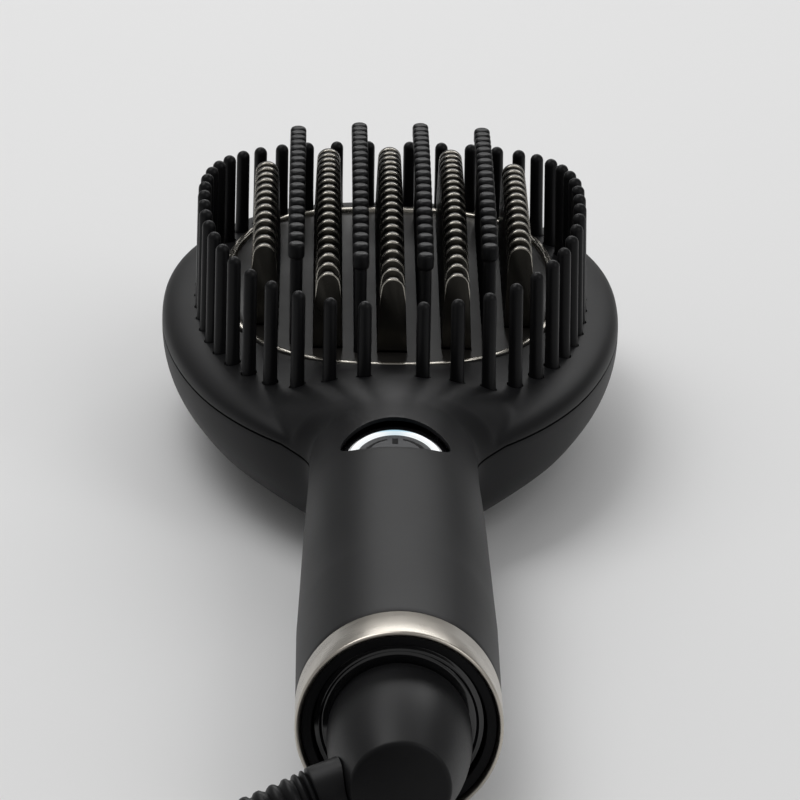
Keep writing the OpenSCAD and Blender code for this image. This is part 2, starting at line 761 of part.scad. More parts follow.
// wires from the board along the neck to the heaters
wire_d = 1.6;
wire_x = 4;
module heater_wires() {
    color([0.75, 0.1, 0.08]) placed() for (m = [-1, 1]) {
        under_ring = guard_foot - 1.4;
        edge = plate_c - plate_l / 2;
        board_end = board_start + board_l;
        route = [[m * wire_x, board_end - 4, board_top + wire_d / 2 + 0.2],
            [m * wire_x, board_end + 1, board_top + wire_d / 2],
            [m * wire_x, board_end + 7, under_ring], [m * wire_x, edge - 14, under_ring],
            [m * wire_x, edge - 4, under_ring], [m * wire_x, edge + 8, under_ring],
            [m * row_step, plate_c - heater_l / 2 - 6, plate_top - plate_t - 3],
            [m * row_step, plate_c - heater_l / 2 - 0.1, plate_top - plate_t - 2]];
        pts = smooth_route(route, 2);
        tube(pts, [for (p = pts) wire_d / 2], 6);
    }
}

// ---- mains lead -----------------------------------------------------------
// The points of the lead are chosen by hand. Their second number is measured from
// the rear end of the boot, and the third is the height above the table. The relief
// leaves the side of the boot, which is round, so that the boot turns freely beside it.
// A stretch that meets another piece ends with a straight run square to it.
relief_root = [-10.6, 7, axis_z - 3.2];
relief_points = [[-13.9, 6.1, axis_z - 4.2], [-17.2, 5.2, axis_z - 5.2], [-24, 3.3, axis_z - 7.3],
    [-31.5, 0.6, axis_z - 9.1], [-38.5, -2.4, 7.6]];
relief_end = [-41.4, -3.8, 7.1];
lead_points = [[-45.2, -5.8, 6.4], [-52.6, -10.6, 5], [-60, -16.8, 3.9], [-66.6, -24.6, 3.5],
    [-71.8, -33.8, 3.5], [-75.6, -44.2, 3.5], [-77.6, -53, 3.6], [-78.8, -62, 3.8], [-79, -70.2, 4.25]];
lead_end = [-79, -77.2, 4.25];
tail_points = [[-80, -103.2, 24], [-80, -118.2, 16], [-76, -133.2, 8], [-67, -144.2, 4],
    [-54, -150.2, 4], [-41, -151.2, 6], [-35, -151.2, 7]];
tail_end = [-29, -151.2, 7];
module behind_boot() {
    translate([0, -origin_s - boot_l - slide, 0]) children();
}
relief_r = 5.6;
relief_tip_r = 3.9;
relief_groove = 0.8;

// the coil: layers that spiral in and out by turns, climbing where they turn back
coil_layers = 4;
coil_step = cord_d + coil_clear;
coil_out = coil_r + coil_turns * coil_step / 2;
coil_centre = lead_end + [coil_out, -cord_d, 0];
coil_rings = 24;
function coil_in(t) = let (k = t - 2 * coil_turns * floor(t / (2 * coil_turns)))
    k <= coil_turns ? k : 2 * coil_turns - k;
function coil_layer(t) = let (k = round(t / coil_turns))
    k <= 0 ? 0 : k >= coil_layers ? coil_layers - 1
    : k - 1 + ease(k * coil_turns - 0.25, k * coil_turns + 0.25, t);
function coil_point(t) = coil_centre + [-(coil_out - coil_step * coil_in(t)) * cos(360 * t),
    -(coil_out - coil_step * coil_in(t)) * sin(360 * t), coil_step * coil_layer(t)];
coil_points = [for (i = [0 : coil_rings * coil_turns * coil_layers]) coil_point(i / coil_rings)];
coil_exit = coil_points[len(coil_points) - 1] + [0, -cord_d, 0];
coil_route = concat([lead_end], coil_points, [coil_exit]);
coil_gap = min([for (i = [0 : len(coil_points) - 1], j = [i + 12 : 1 : len(coil_points) - 1])
    norm(coil_points[i] - coil_points[j])]) - cord_d;
lead_route = concat([relief_end], smooth_route(lead_points, 3), [lead_end]);
tail_route = concat([coil_exit, coil_exit + [0, -5, 0]], smooth_route(tail_points, 3), [tail_end]);
relief_route = concat([relief_root], smooth_route(relief_points, 8), [relief_end]);
echo(least_gap_between_turns = coil_gap);
echo(lead_length = route_length(relief_route) + route_length(lead_route)
    + route_length(coil_route) + route_length(tail_route));

module strain_relief() {
    n = len(relief_route) - 1;
    color(black_plain) behind_boot() tube(relief_route, [for (i = [0 : n])
        let (body = relief_r - (relief_r - relief_tip_r) * i / n)
        i % 3 == 2 && i < n - 2 ? body - relief_groove : body], 12);
}

module cord_lead() {
    color(black_plain) behind_boot() tube(lead_route, [for (p = lead_route) cord_d / 2], 10);
}

module cord_coil() {
    color(black_plain) behind_boot() tube(coil_route, [for (p = coil_route) cord_d / 2], 6);
}

module cord_tail() {
    color(black_plain) behind_boot() tube(tail_route, [for (p = tail_route) cord_d / 2], 10);
}

// strap round the bundle of turns, opposite the side where the lead joins them
tie_w = 11;
tie_t = 0.9;
tie_slack = 0.8;
module cord_tie() {
    bundle_w = (coil_turns - 1) * coil_step + cord_d;
    bundle_h = (coil_layers - 1) * coil_step + cord_d;
    color(black_soft) behind_boot() translate(coil_centre + [coil_r, 0, bundle_h / 2 - cord_d / 2])
        rotate([90, 0, 0]) translate([0, 0, -tie_w / 2]) linear_extrude(tie_w) difference() {
            square([bundle_w + 2 * (tie_t + tie_slack), bundle_h + 2 * (tie_t + 0.05)], center = true);
            square([bundle_w + 2 * tie_slack, bundle_h + 0.1], center = true);
        }
}

// two-pin plug lying beside the coil
plug_w = 35.3;
plug_h = 13.7;
plug_l = 36;
plug_face = 14;
pin_d = 4;
pin_l = 19;
pin_step = 18.6;
pin_root = 6;
pin_root_d = 3.4;
pin_tip = 0.5;
module plug_body() {
    color(black_plain) behind_boot() translate(tail_end) difference() {
        hull() {
            translate([plug_l - plug_face, -plug_w / 2 + 3, 0]) rotate([0, 90, 0])
                cylinder(d = plug_h * 0.6, h = plug_face, $fn = 24);
            translate([plug_l - plug_face, plug_w / 2 - 3, 0]) rotate([0, 90, 0])
                cylinder(d = plug_h * 0.6, h = plug_face, $fn = 24);
            translate([plug_l - plug_face, -plug_w / 2 + 6, -plug_h / 2])
                cube([plug_face, plug_w - 12, plug_h]);
            rotate([0, 90, 0]) cylinder(d = cord_d + 4.5, h = 6, $fn = 24);
        }
        for (y = [-1, 1]) translate([plug_l - pin_root, y * pin_step / 2, 0]) rotate([0, 90, 0])
            cylinder(d = pin_root_d, h = pin_root + 1, $fn = 32);
    }
}

module plug_pins() {
    color(nickel) behind_boot() translate(tail_end) for (y = [-1, 1])
        translate([plug_l, y * pin_step / 2, 0]) rotate([0, 90, 0]) {
            translate([0, 0, -pin_root]) cylinder(d = pin_root_d, h = pin_root + 1, $fn = 48);
            translate([0, 0, eps]) cylinder(d = pin_d, h = pin_l - pin_tip - eps, $fn = 48);
            translate([0, 0, pin_l - pin_tip])
                cylinder(d1 = pin_d, d2 = pin_d - 2 * pin_tip, h = pin_tip, $fn = 48);
        }
}

main_housing();
back_cover();
heater_plate();
fin_row(0);  // fin_row_1
fin_row(1);  // fin_row_2
fin_row(2);  // fin_row_3
fin_row(3);  // fin_row_4
fin_row(4);  // fin_row_5
knob_row(0);  // knob_row_1
knob_row(1);  // knob_row_2
knob_row(2);  // knob_row_3
knob_row(3);  // knob_row_4
guard_bristles(-1, -1);  // guard_bristles_1
guard_bristles(1, -1);  // guard_bristles_2
guard_bristles(-1, 1);  // guard_bristles_3
guard_bristles(1, 1);  // guard_bristles_4
insulator_tray();
ptc_heaters();
heater_clamp();
thermal_fuse();
temperature_sensor();
control_board();
board_components();
tact_switch();
button_bezel();
light_ring();
power_button();
switch_plunger();
end_ring();
end_cap();
contact_block();
contact_brushes();
swivel_boot();
slip_rings();
swivel_retainer();
cover_screws();
board_screws();
clamp_screws();
heater_wires();
strain_relief();
cord_lead();
cord_coil();
cord_tail();
cord_tie();
plug_body();
plug_pins();
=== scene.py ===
"""Heated straightening paddle brush: the finished surfaces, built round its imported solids.

Places are in metres in the brush's own frame. Along the handle most of them are given by their
station, the distance from the rear face of the metal end ring towards the tip of the head.
"""

import math

import bmesh
import bpy
from mathutils import Matrix, Quaternion, Vector


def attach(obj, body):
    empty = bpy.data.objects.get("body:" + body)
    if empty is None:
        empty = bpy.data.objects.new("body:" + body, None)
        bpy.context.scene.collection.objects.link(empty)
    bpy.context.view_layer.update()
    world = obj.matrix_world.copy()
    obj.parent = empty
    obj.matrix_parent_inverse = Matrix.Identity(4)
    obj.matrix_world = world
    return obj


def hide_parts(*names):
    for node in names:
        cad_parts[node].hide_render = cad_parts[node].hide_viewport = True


bl_info = {
    "name": "Heated paddle brush",
    "version": (1, 0, 0),
    "blender": (4, 5, 0),
    "location": "View3D > Sidebar > Brush",
    "description": "Builds the surfaces, finishes and studio of a heated straightening brush",
    "category": "Add Mesh",
}

MM = 0.001
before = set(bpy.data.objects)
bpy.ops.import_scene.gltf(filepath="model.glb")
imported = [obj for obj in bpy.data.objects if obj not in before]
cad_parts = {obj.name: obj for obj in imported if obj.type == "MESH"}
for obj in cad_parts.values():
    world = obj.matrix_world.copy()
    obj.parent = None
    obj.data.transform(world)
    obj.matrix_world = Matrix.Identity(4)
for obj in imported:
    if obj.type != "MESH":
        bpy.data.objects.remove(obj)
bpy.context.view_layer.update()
ORIGIN = 121.5 * MM


# Fixed places and sizes, in millimetres.
AXIS_H = 18  # height of the handle's axis above the table
PLATE_MID = 205.75  # station of the middle of the heated plate
PLATE_RISE = 5.6  # rise of the heated plate's top above the seam
ROW_MID = 208.5  # station of the middle of the rows of fins and knobs
FIN_COUNTS, KNOB_COUNTS = (13, 19, 20, 19, 13), (18, 20, 20, 18)
FIN_FLARE = 0.55  # how far a fin's foot stands out on each side
PIN_MID, PIN_BACK, PIN_FRONT = 205, 64, 56  # guard pins' oval: widest station, reach to each end
PIN_FOOT_H = 22  # height of the guard pins' feet above the table
CAP_DROP, CAP_T, CAP_TRAVEL, CAP_SPARE = 0.5, 2.2, 0.8, 0.3  # button cap and the space under it


def at(station):
    """Y of a station."""
    return station * MM - ORIGIN


# ---- sizes and colours ------------------------------------------------------
def length(text, default, low, high):
    """A size in metres for the panel."""
    return bpy.props.FloatProperty(
        name=text.split(":")[0], description=text.split(":")[1].strip(), default=default * MM,
        min=low * MM, max=high * MM, unit="LENGTH", precision=5)


def colour(text, default):
    """A colour for the panel."""
    return bpy.props.FloatVectorProperty(
        name=text.split(":")[0], description=text.split(":")[1].strip(), default=default,
        size=3, min=0, max=1, subtype="COLOR")


class CoverSizes(bpy.types.PropertyGroup):
    """Sizes of the moulded covers."""

    handle_d: length("Handle diameter: Across the handle beside the end ring", 36, 34, 40)
    neck_d: length("Neck diameter: Across the handle where it runs into the head", 32, 30, 34)
    handle_rise: length("Handle rise: How far the handle climbs to the button", 2, 0, 2.5)
    head_w: length("Head width: Across the seam of the head", 92, 90, 100)
    head_c: length("Widest station: Where the head is widest", 205, 202, 208)
    head_back: length("Head back: From the widest line to the neck", 84, 82, 88)
    head_front: length("Head front: From the widest line to the tip", 64, 63, 70)
    seam_z: length("Seam height: Height of the seam above the table", 22, 21, 23)
    deck_h: length("Deck rise: Rise of the top cover above the seam", 6.8, 6, 7.6)
    seam_gap: length("Seam gap: Gap shown between the covers", 0.4, 0.2, 0.8)
    wall: length("Wall: Thickness of the covers", 2.2, 1.8, 2.6)


class FieldSizes(bpy.types.PropertyGroup):
    """Sizes of the heated field and the guard pins round it."""

    pin_count: bpy.props.IntProperty(
        name="Pins a side", description="Guard pins on each side of the head", default=23, min=15, max=26)
    pin_d: length("Pin diameter: Across a guard pin", 2.7, 2, 2.8)
    pin_oval: length("Pin oval: Width of the oval that the guard pins stand on", 76, 74, 78)
    pin_top: length("Pin height: Height of the tallest guard pins", 49.5, 46, 54)
    pin_lean: bpy.props.FloatProperty(
        name="Pin lean", description="Inward lean of the guard pins", default=math.radians(1),
        min=0, max=math.radians(4), unit="ROTATION")
    plate_w: length("Plate width: Across the heated plate", 67, 66, 68)
    plate_l: length("Plate length: Along the heated plate", 97.5, 93, 99)
    row_pitch: length("Row pitch: Spacing along a row of fins or knobs", 4.4, 4.2, 4.5)
    row_step: length("Row step: Spacing between rows of fins", 12.65, 12.4, 12.8)
    fin_w: length("Fin width: Across one fin", 4.8, 4.6, 5.6)
    fin_t: length("Fin thickness: Through one fin", 1.4, 1, 1.8)
    fin_top: length("Fin height: Height of the tallest fins", 45.5, 42, 48)
    knob_d: length("Knob diameter: Across a knob", 3.3, 3.2, 3.8)
    stem_d: length("Stem diameter: Across a knob's stem", 2.4, 2, 2.8)
    knob_top: length("Knob height: Height of the tallest knobs", 50.6, 48, 53)
    arch_r: length("Arch radius: Arch that the tips follow along the head", 335, 280, 500)


class ButtonSizes(bpy.types.PropertyGroup):
    """Sizes of the power button and its lit recess."""

    station: length("Station: Where the button's centre is", 99, 96, 102)
    recess_d: length("Recess diameter: Across the round recess", 20.6, 19, 22)
    light_d: length("Light diameter: Across the light ring", 17, 16, 18)
    light_w: length("Light width: Width of the light ring", 1.05, 1, 1.8)
    gap: length("Button gap: Gap round the moving cap", 0.35, 0.3, 0.5)
    floor_z: length("Floor height: Height of the recess floor", 33.16, 32.8, 33.6)
    arch_r: length("Arch radius: Arch of the recess floor and the button", 24, 20, 40)


class EndSizes(bpy.types.PropertyGroup):
    """Sizes of the metal end ring and the swivelling boot."""

    ring_l: length("Ring length: Length of the metal end ring", 9.9, 8, 12)
    ring_t: length("Ring wall: Wall of the metal end ring", 1, 0.8, 1.4)
    boot_d: length("Boot flange: Across the boot's flange", 25, 23, 27)
    boot_tip_d: length("Boot tip: Across the boot's rear end", 17.5, 16, 20)
    boot_l: length("Boot length: How far the boot stands out", 26, 20, 30)


class LeadSizes(bpy.types.PropertyGroup):
    """Sizes of the mains lead."""

    cord_d: length("Lead diameter: Across the mains lead", 6.5, 6, 7)
    coil_r: length("Coil radius: Middle of the stored turns", 38, 36, 42)
    coil_clear: length("Coil clearance: Between neighbouring turns", 0.6, 0.5, 1)
    coil_turns: bpy.props.IntProperty(
        name="Coil turns", description="Turns in each layer of the stored coil", default=2, min=1, max=2)


class BrushColours(bpy.types.PropertyGroup):
    """Colours of the brush and its studio."""

    soft: colour("Covers: Soft-touch covers and handle", (0.006, 0.006, 0.0066))
    gloss: colour("Gloss black: End cap and button recess", (0.005, 0.005, 0.0055))
    bristle: colour("Bristles: Guard pins and knobs", (0.005, 0.005, 0.0056))
    # Fin faces: the metal's own dark tone, darkened further as painted shade.
    titanium: colour("Heated metal: Faces of the fins", (0.055, 0.052, 0.046))
    # Plate: its own dark tone, darkened further as painted shade between the rows of fins.
    plate: colour("Plate: Heated plate between the rows", (0.012, 0.011, 0.010))
    # Painted highlight: a far lighter copy of the fin metal, for the fins' bevelled edges and the plate's
    # rim.
    rim: colour("Bright edges: Edges of the fins and the plate's rim", (0.55, 0.52, 0.46))
    nickel: colour("End ring: Satin nickel", (0.50, 0.465, 0.41))
    boot: colour("Boot: Swivel boot and strain relief", (0.007, 0.007, 0.0076))
    lead: colour("Lead: Mains lead and plug", (0.009, 0.009, 0.0095))
    light: colour("Light: Lit ring", (0.80, 0.94, 1.0))
    button: colour("Button: Power button", (0.03, 0.031, 0.034))
    floor: colour("Floor: Studio floor and backdrop", (0.80, 0.80, 0.80))


# ---- finishes ---------------------------------------------------------------
def nodes_of(material):
    """A material's node tree, its shader and a function that adds a node."""
    material.use_nodes = True
    tree = material.node_tree
    shader = tree.nodes["Principled BSDF"]

    def add(kind, **values):
        node = tree.nodes.new(kind)
        for key, value in values.items():
            if hasattr(node, key):
                setattr(node, key, value)
            else:
                node.inputs[key.replace("_", " ")].default_value = value
        return node

    return tree, shader, add


def spread(tree, add, source, low, high):
    """Spreads a 0.3 to 0.7 pattern value between two numbers."""
    node = add("ShaderNodeMapRange")
    node.inputs["From Min"].default_value = 0.3
    node.inputs["From Max"].default_value = 0.7
    node.inputs["To Min"].default_value = low
    node.inputs["To Max"].default_value = high
    tree.links.new(source, node.inputs["Value"])
    return node.outputs["Result"]


def mixed(tree, add, amount, first, second):
    """Mixes two colours by an amount from 0 to 1."""
    node = add("ShaderNodeMix", data_type="RGBA")
    ends = [s for s in node.inputs if s.type == "RGBA"]
    ends[0].default_value, ends[1].default_value = (*first, 1), (*second, 1)
    tree.links.new(amount, node.inputs[0])
    return [o for o in node.outputs if o.type == "RGBA"][0]


def finish(name, base, rough, rough_spread=0.05, grain=0.3, depth=0.03, cloud=12, shift=0.12,
           metallic=0.0, stretch=(1, 1, 1), specular=0.5, coat=0.0):
    """A moulded or metal finish: fine grain in the bump, slow clouds in its colour and gloss.

    grain is the size of the grain and cloud that of the clouds, in millimetres."""
    material = bpy.data.materials.new(name)
    tree, shader, add = nodes_of(material)
    place = add("ShaderNodeTexCoord").outputs["Object"]
    mapping = add("ShaderNodeMapping")
    mapping.inputs["Scale"].default_value = stretch
    tree.links.new(place, mapping.inputs["Vector"])
    fine = add("ShaderNodeTexNoise", Scale=1000 / grain, Detail=3.0, Roughness=0.6)
    slow = add("ShaderNodeTexNoise", Scale=1000 / cloud, Detail=4.0, Roughness=0.55)
    tree.links.new(mapping.outputs["Vector"], fine.inputs["Vector"])
    tree.links.new(place, slow.inputs["Vector"])
    dark = tuple(c * (1 - shift) for c in base)
    light = tuple(min(1, c * (1 + shift)) for c in base)
    tree.links.new(mixed(tree, add, spread(tree, add, slow.outputs["Fac"], 0, 1), dark, light),
                   shader.inputs["Base Color"])
    both = add("ShaderNodeMath", operation="ADD")
    tree.links.new(fine.outputs["Fac"], both.inputs[0])
    tree.links.new(slow.outputs["Fac"], both.inputs[1])
    half = add("ShaderNodeMath", operation="MULTIPLY")
    half.inputs[1].default_value = 0.5
    tree.links.new(both.outputs[0], half.inputs[0])
    tree.links.new(spread(tree, add, half.outputs[0], rough - rough_spread, rough + rough_spread),
                   shader.inputs["Roughness"])
    bump = add("ShaderNodeBump", Strength=0.6, Distance=depth * MM)
    tree.links.new(fine.outputs["Fac"], bump.inputs["Height"])
    tree.links.new(bump.outputs["Normal"], shader.inputs["Normal"])
    shader.inputs["Metallic"].default_value = metallic
    shader.inputs["Specular IOR Level"].default_value = specular
    if coat:
        shader.inputs["Coat Weight"].default_value = coat
        shader.inputs["Coat Roughness"].default_value = 0.08
    return material


def lit_ring_finish(name, base, strength=0.92):
    """White light behind a milky ring, with a colder patch on the side towards the head."""
    material = bpy.data.materials.new(name)
    tree, shader, add = nodes_of(material)
    place = add("ShaderNodeTexCoord").outputs["Object"]
    split = add("ShaderNodeSeparateXYZ")
    tree.links.new(place, split.inputs[0])
    along = add("ShaderNodeMapRange", interpolation_type="SMOOTHSTEP")
    along.inputs["From Min"].default_value = at(105.9)
    along.inputs["From Max"].default_value = at(107.2)
    tree.links.new(split.outputs["Y"], along.inputs["Value"])
    colder = (base[0] * 0.40, base[1] * 0.62, base[2] * 0.72)
    tree.links.new(mixed(tree, add, along.outputs["Result"], (0.96, 0.99, 1.0), colder),
                   shader.inputs["Emission Color"])
    shader.inputs["Base Color"].default_value = (0.12, 0.13, 0.14, 1)
    shader.inputs["Emission Strength"].default_value = strength
    noise = add("ShaderNodeTexNoise", Scale=900.0)
    tree.links.new(place, noise.inputs["Vector"])
    tree.links.new(spread(tree, add, noise.outputs["Fac"], 0.30, 0.45), shader.inputs["Roughness"])
    return material


FINISHES = {}
FINISH_TABLE = {
    "soft": ("Soft-touch black", "soft", 0.46, 0.03, 0.25, 0.006, 25, 0.06, {"specular": 0.12}),
    "gloss": ("Gloss black", "gloss", 0.10, 0.03, 6, 0.006, 18, 0.2, {"coat": 0.4}),
    "bristle": ("Nylon bristle", "bristle", 0.38, 0.05, 0.5, 0.008, 6, 0.1, {"specular": 0.14}),
    # Dark titanium and Plate metal: their own dark tone, darkened further as painted shade.
    "titanium": ("Dark titanium", "titanium", 0.30, 0.04, 0.35, 0.003, 5, 0.04, {"metallic": 1.0}),
    "plate": ("Plate metal", "plate", 0.36, 0.04, 0.35, 0.003, 8, 0.06, {"specular": 0.25}),
    # Painted highlight: the fin metal again, far lighter, for the edges of the fins and the plate's rim.
    "rim": ("Bright edge metal", "rim", 0.25, 0.04, 0.35, 0.002, 5, 0.05, {"metallic": 1.0}),
    "nickel": ("Satin nickel", "nickel", 0.30, 0.07, 0.35, 0.012, 9, 0.05,
               {"metallic": 1.0, "stretch": (0.03, 1, 0.03)}),
    "boot": ("Boot rubber", "boot", 0.42, 0.05, 0.4, 0.01, 9, 0.1, {"specular": 0.16}),
    "lead": ("Lead sheath", "lead", 0.44, 0.06, 0.6, 0.02, 8, 0.12, {"specular": 0.36}),
    "button": ("Button grey", "button", 0.42, 0.05, 0.3, 0.012, 5, 0.08, {"specular": 0.12}),
    "sign": ("Sign black", (0.002, 0.002, 0.002), 0.5, 0.05, 0.3, 0.03, 4, 0.12,
             {"specular": 0.03}),
    "ceramic": ("Heater ceramic", (0.72, 0.70, 0.66), 0.55, 0.08, 0.4, 0.04, 4, 0.07, {}),
    "board": ("Circuit board", (0.03, 0.16, 0.07), 0.35, 0.06, 0.8, 0.02, 3, 0.2, {}),
    "chip": ("Chip black", (0.03, 0.03, 0.032), 0.5, 0.07, 0.3, 0.02, 3, 0.15, {}),
    "steel": ("Zinc steel", (0.60, 0.61, 0.63), 0.33, 0.07, 0.5, 0.02, 4, 0.08, {"metallic": 1.0}),
    "brass": ("Contact brass", (0.78, 0.57, 0.26), 0.25, 0.06, 0.4, 0.012, 4, 0.08,
              {"metallic": 1.0}),
    "wire": ("Wire sleeve", (0.50, 0.035, 0.03), 0.4, 0.05, 0.6, 0.02, 6, 0.1, {}),
    "tie": ("Tie strap", (0.022, 0.022, 0.024), 0.6, 0.08, 0.5, 0.08, 5, 0.2, {}),
}


def finish_named(name):
    """The material of a finish, made once."""
    if name not in FINISHES:
        colours = bpy.context.scene.brush_colours
        if name == "light":
            FINISHES[name] = lit_ring_finish("Lit ring", colours.light)
        else:
            title, base, *numbers, extra = FINISH_TABLE[name]
            base = getattr(colours, base) if isinstance(base, str) else base
            FINISHES[name] = finish(title, base, *numbers, **extra)
    return FINISHES[name]


# ---- mesh helpers -----------------------------------------------------------
def laid_sheet(bm, across, along, place):
    """A sheet of faces with its corners at place(i, j)."""
    made = bmesh.ops.create_grid(bm, x_segments=across, y_segments=along, size=0.5)
    for v in made["verts"]:
        i, j = round((v.co.x + 0.5) * across), round((v.co.y + 0.5) * along)
        v.co = place(i, j)
    return made["verts"]


def closed_sheet(bm, across, along, place, capped=True):
    """A sheet that closes on itself, its open ends capped where it has them."""
    made = laid_sheet(bm, across, along, place)
    bmesh.ops.remove_doubles(bm, verts=made, dist=1e-7)
    if capped:
        bmesh.ops.holes_fill(bm, edges=[e for e in bm.edges if e.is_boundary], sides=0)
    bmesh.ops.recalc_face_normals(bm, faces=bm.faces)


def bevelled(bm, edges, width, segments=2):
    """Bevels edges and returns what that made."""
    return bmesh.ops.bevel(bm, geom=edges, offset=width, segments=segments, profile=0.5,
                           affect="EDGES", material=-1, clamp_overlap=True)


def lathe(bm, profile, segments, place=None):
    """Turns a profile of (radius, height) in millimetres round Z and puts it in place."""
    verts = [bm.verts.new((r * MM, 0, z * MM)) for r, z in profile]
    edges = [bm.edges.new(pair) for pair in zip(verts, verts[1:])]
    made = bmesh.ops.spin(bm, geom=verts + edges, cent=(0, 0, 0), axis=(0, 0, 1),
                          angle=2 * math.pi, steps=segments, use_merge=True, use_duplicate=False)
    fresh = {v for v in made["geom_last"] if isinstance(v, bmesh.types.BMVert)} | set(verts)
    linked = set()
    stack = [v for v in fresh if v.is_valid]
    while stack:
        v = stack.pop()
        if v in linked:
            continue
        linked.add(v)
        stack.extend(e.other_vert(v) for e in v.link_edges)
    bmesh.ops.remove_doubles(bm, verts=list(linked), dist=1e-7)
    linked = [v for v in linked if v.is_valid]
    bmesh.ops.recalc_face_normals(bm, faces=list({f for v in linked for f in v.link_faces}))
    if place is not None:
        bmesh.ops.transform(bm, matrix=place, verts=linked)
    return linked


def rounded(points, radii, steps=4):
    """A profile with its corners rounded. radii has one number for each inner point."""
    out = [points[0]]
    for k in range(1, len(points) - 1):
        p, r = Vector(points[k]), radii[k - 1] if isinstance(radii, (list, tuple)) else radii
        a, b = Vector(points[k - 1]) - p, Vector(points[k + 1]) - p
        r = min(r, a.length * 0.45, b.length * 0.45)
        if r <= 0:
            out.append(tuple(p))
            continue
        start, end = p + a.normalized() * r, p + b.normalized() * r
        for i in range(steps + 1):
            u = i / steps
            q = start * (1 - u) ** 2 + p * 2 * u * (1 - u) + end * u * u
            out.append(tuple(q))
    out.append(points[-1])
    return out


def piece(name, bm, material, body="root", stands_for=(), sharp=35):
    """Makes an object from a mesh, with its finish, and lets it ride on a body."""
    return settle(bare_object(name, bm), material, body, stands_for, sharp)


def settle(obj, material, body="root", stands_for=(), sharp=35):
    """Gives an object its finish and shading, and lets it ride on a body."""
    for m in material if isinstance(material, (list, tuple)) else [material]:
        obj.data.materials.append(finish_named(m))
    if obj.type == "MESH":
        obj.data.shade_smooth()
        obj.data.set_sharp_from_angle(angle=math.radians(sharp))
    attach(obj, body)
    if stands_for:
        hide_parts(*stands_for)
    return obj


def applied(obj):
    """Replaces an object's mesh by the one its modifiers make."""
    graph = bpy.context.evaluated_depsgraph_get()
    mesh = bpy.data.meshes.new_from_object(obj.evaluated_get(graph))
    obj.modifiers.clear()
    old, obj.data = obj.data, mesh
    bpy.data.meshes.remove(old)


def bare_object(name, bm):
    """An object with no finish yet."""
    mesh = bpy.data.meshes.new(name)
    bm.to_mesh(mesh)
    bm.free()
    obj = bpy.data.objects.new(name, mesh)
    bpy.context.scene.collection.objects.link(obj)
    return obj


def cut_by(obj, cutters):
    """Cuts the shapes of a mesh out of an object."""
    tool = bare_object("cutter", cutters)
    cut = obj.modifiers.new("cut", "BOOLEAN")
    cut.operation, cut.solver, cut.object = "DIFFERENCE", "EXACT", tool
    applied(obj)
    mesh = tool.data
    bpy.data.objects.remove(tool)
    bpy.data.meshes.remove(mesh)


def eased_edges(obj, pick, width, segments=2):
    """Bevels the edges that pick names."""
    bm = bmesh.new()
    bm.from_mesh(obj.data)
    bevelled(bm, [e for e in bm.edges if pick(e)], width, segments)
    bm.to_mesh(obj.data)
    bm.free()


def prism(bm, outline, low, high):
    """A closed prism on an outline of (x, y) points."""
    made = bmesh.ops.create_circle(bm, segments=len(outline), radius=1, cap_ends=True)
    ring = sorted(made["verts"], key=lambda v: math.atan2(v.co.y, v.co.x) % (2 * math.pi))
    for v, p in zip(ring, outline):
        v.co = (p[0], p[1], low)
    face = [f for f in ring[0].link_faces if len(f.verts) == len(outline)][0]
    top = bmesh.ops.extrude_face_region(bm, geom=[face])
    raised = [v for v in top["geom"] if isinstance(v, bmesh.types.BMVert)]
    bmesh.ops.translate(bm, vec=(0, 0, high - low), verts=raised)
    base = [v for v in ring if v.is_valid]
    if not any(set(f.verts) == set(base) for f in base[0].link_faces):
        bmesh.ops.contextual_create(bm, geom=base)
    whole = base + raised
    bmesh.ops.recalc_face_normals(bm, faces=list({f for v in whole for f in v.link_faces}))
    return whole


# ---- shape of the covers ----------------------------------------------------
def ease(a, b, s):
    """Goes smoothly from 0 at a to 1 at b."""
    u = min(1, max(0, (s - a) / (b - a)))
    return u * u * (3 - 2 * u)


def sup(u, n):
    """Height of a rounded-square arc above its base line."""
    return 0.0 if abs(u) >= 1 else (1 - abs(u) ** n) ** (1 / n)


def blend_max(a, b, n):
    """The larger of two heights, with a soft change between them."""
    return (max(0, a) ** n + max(0, b) ** n) ** (1 / n)


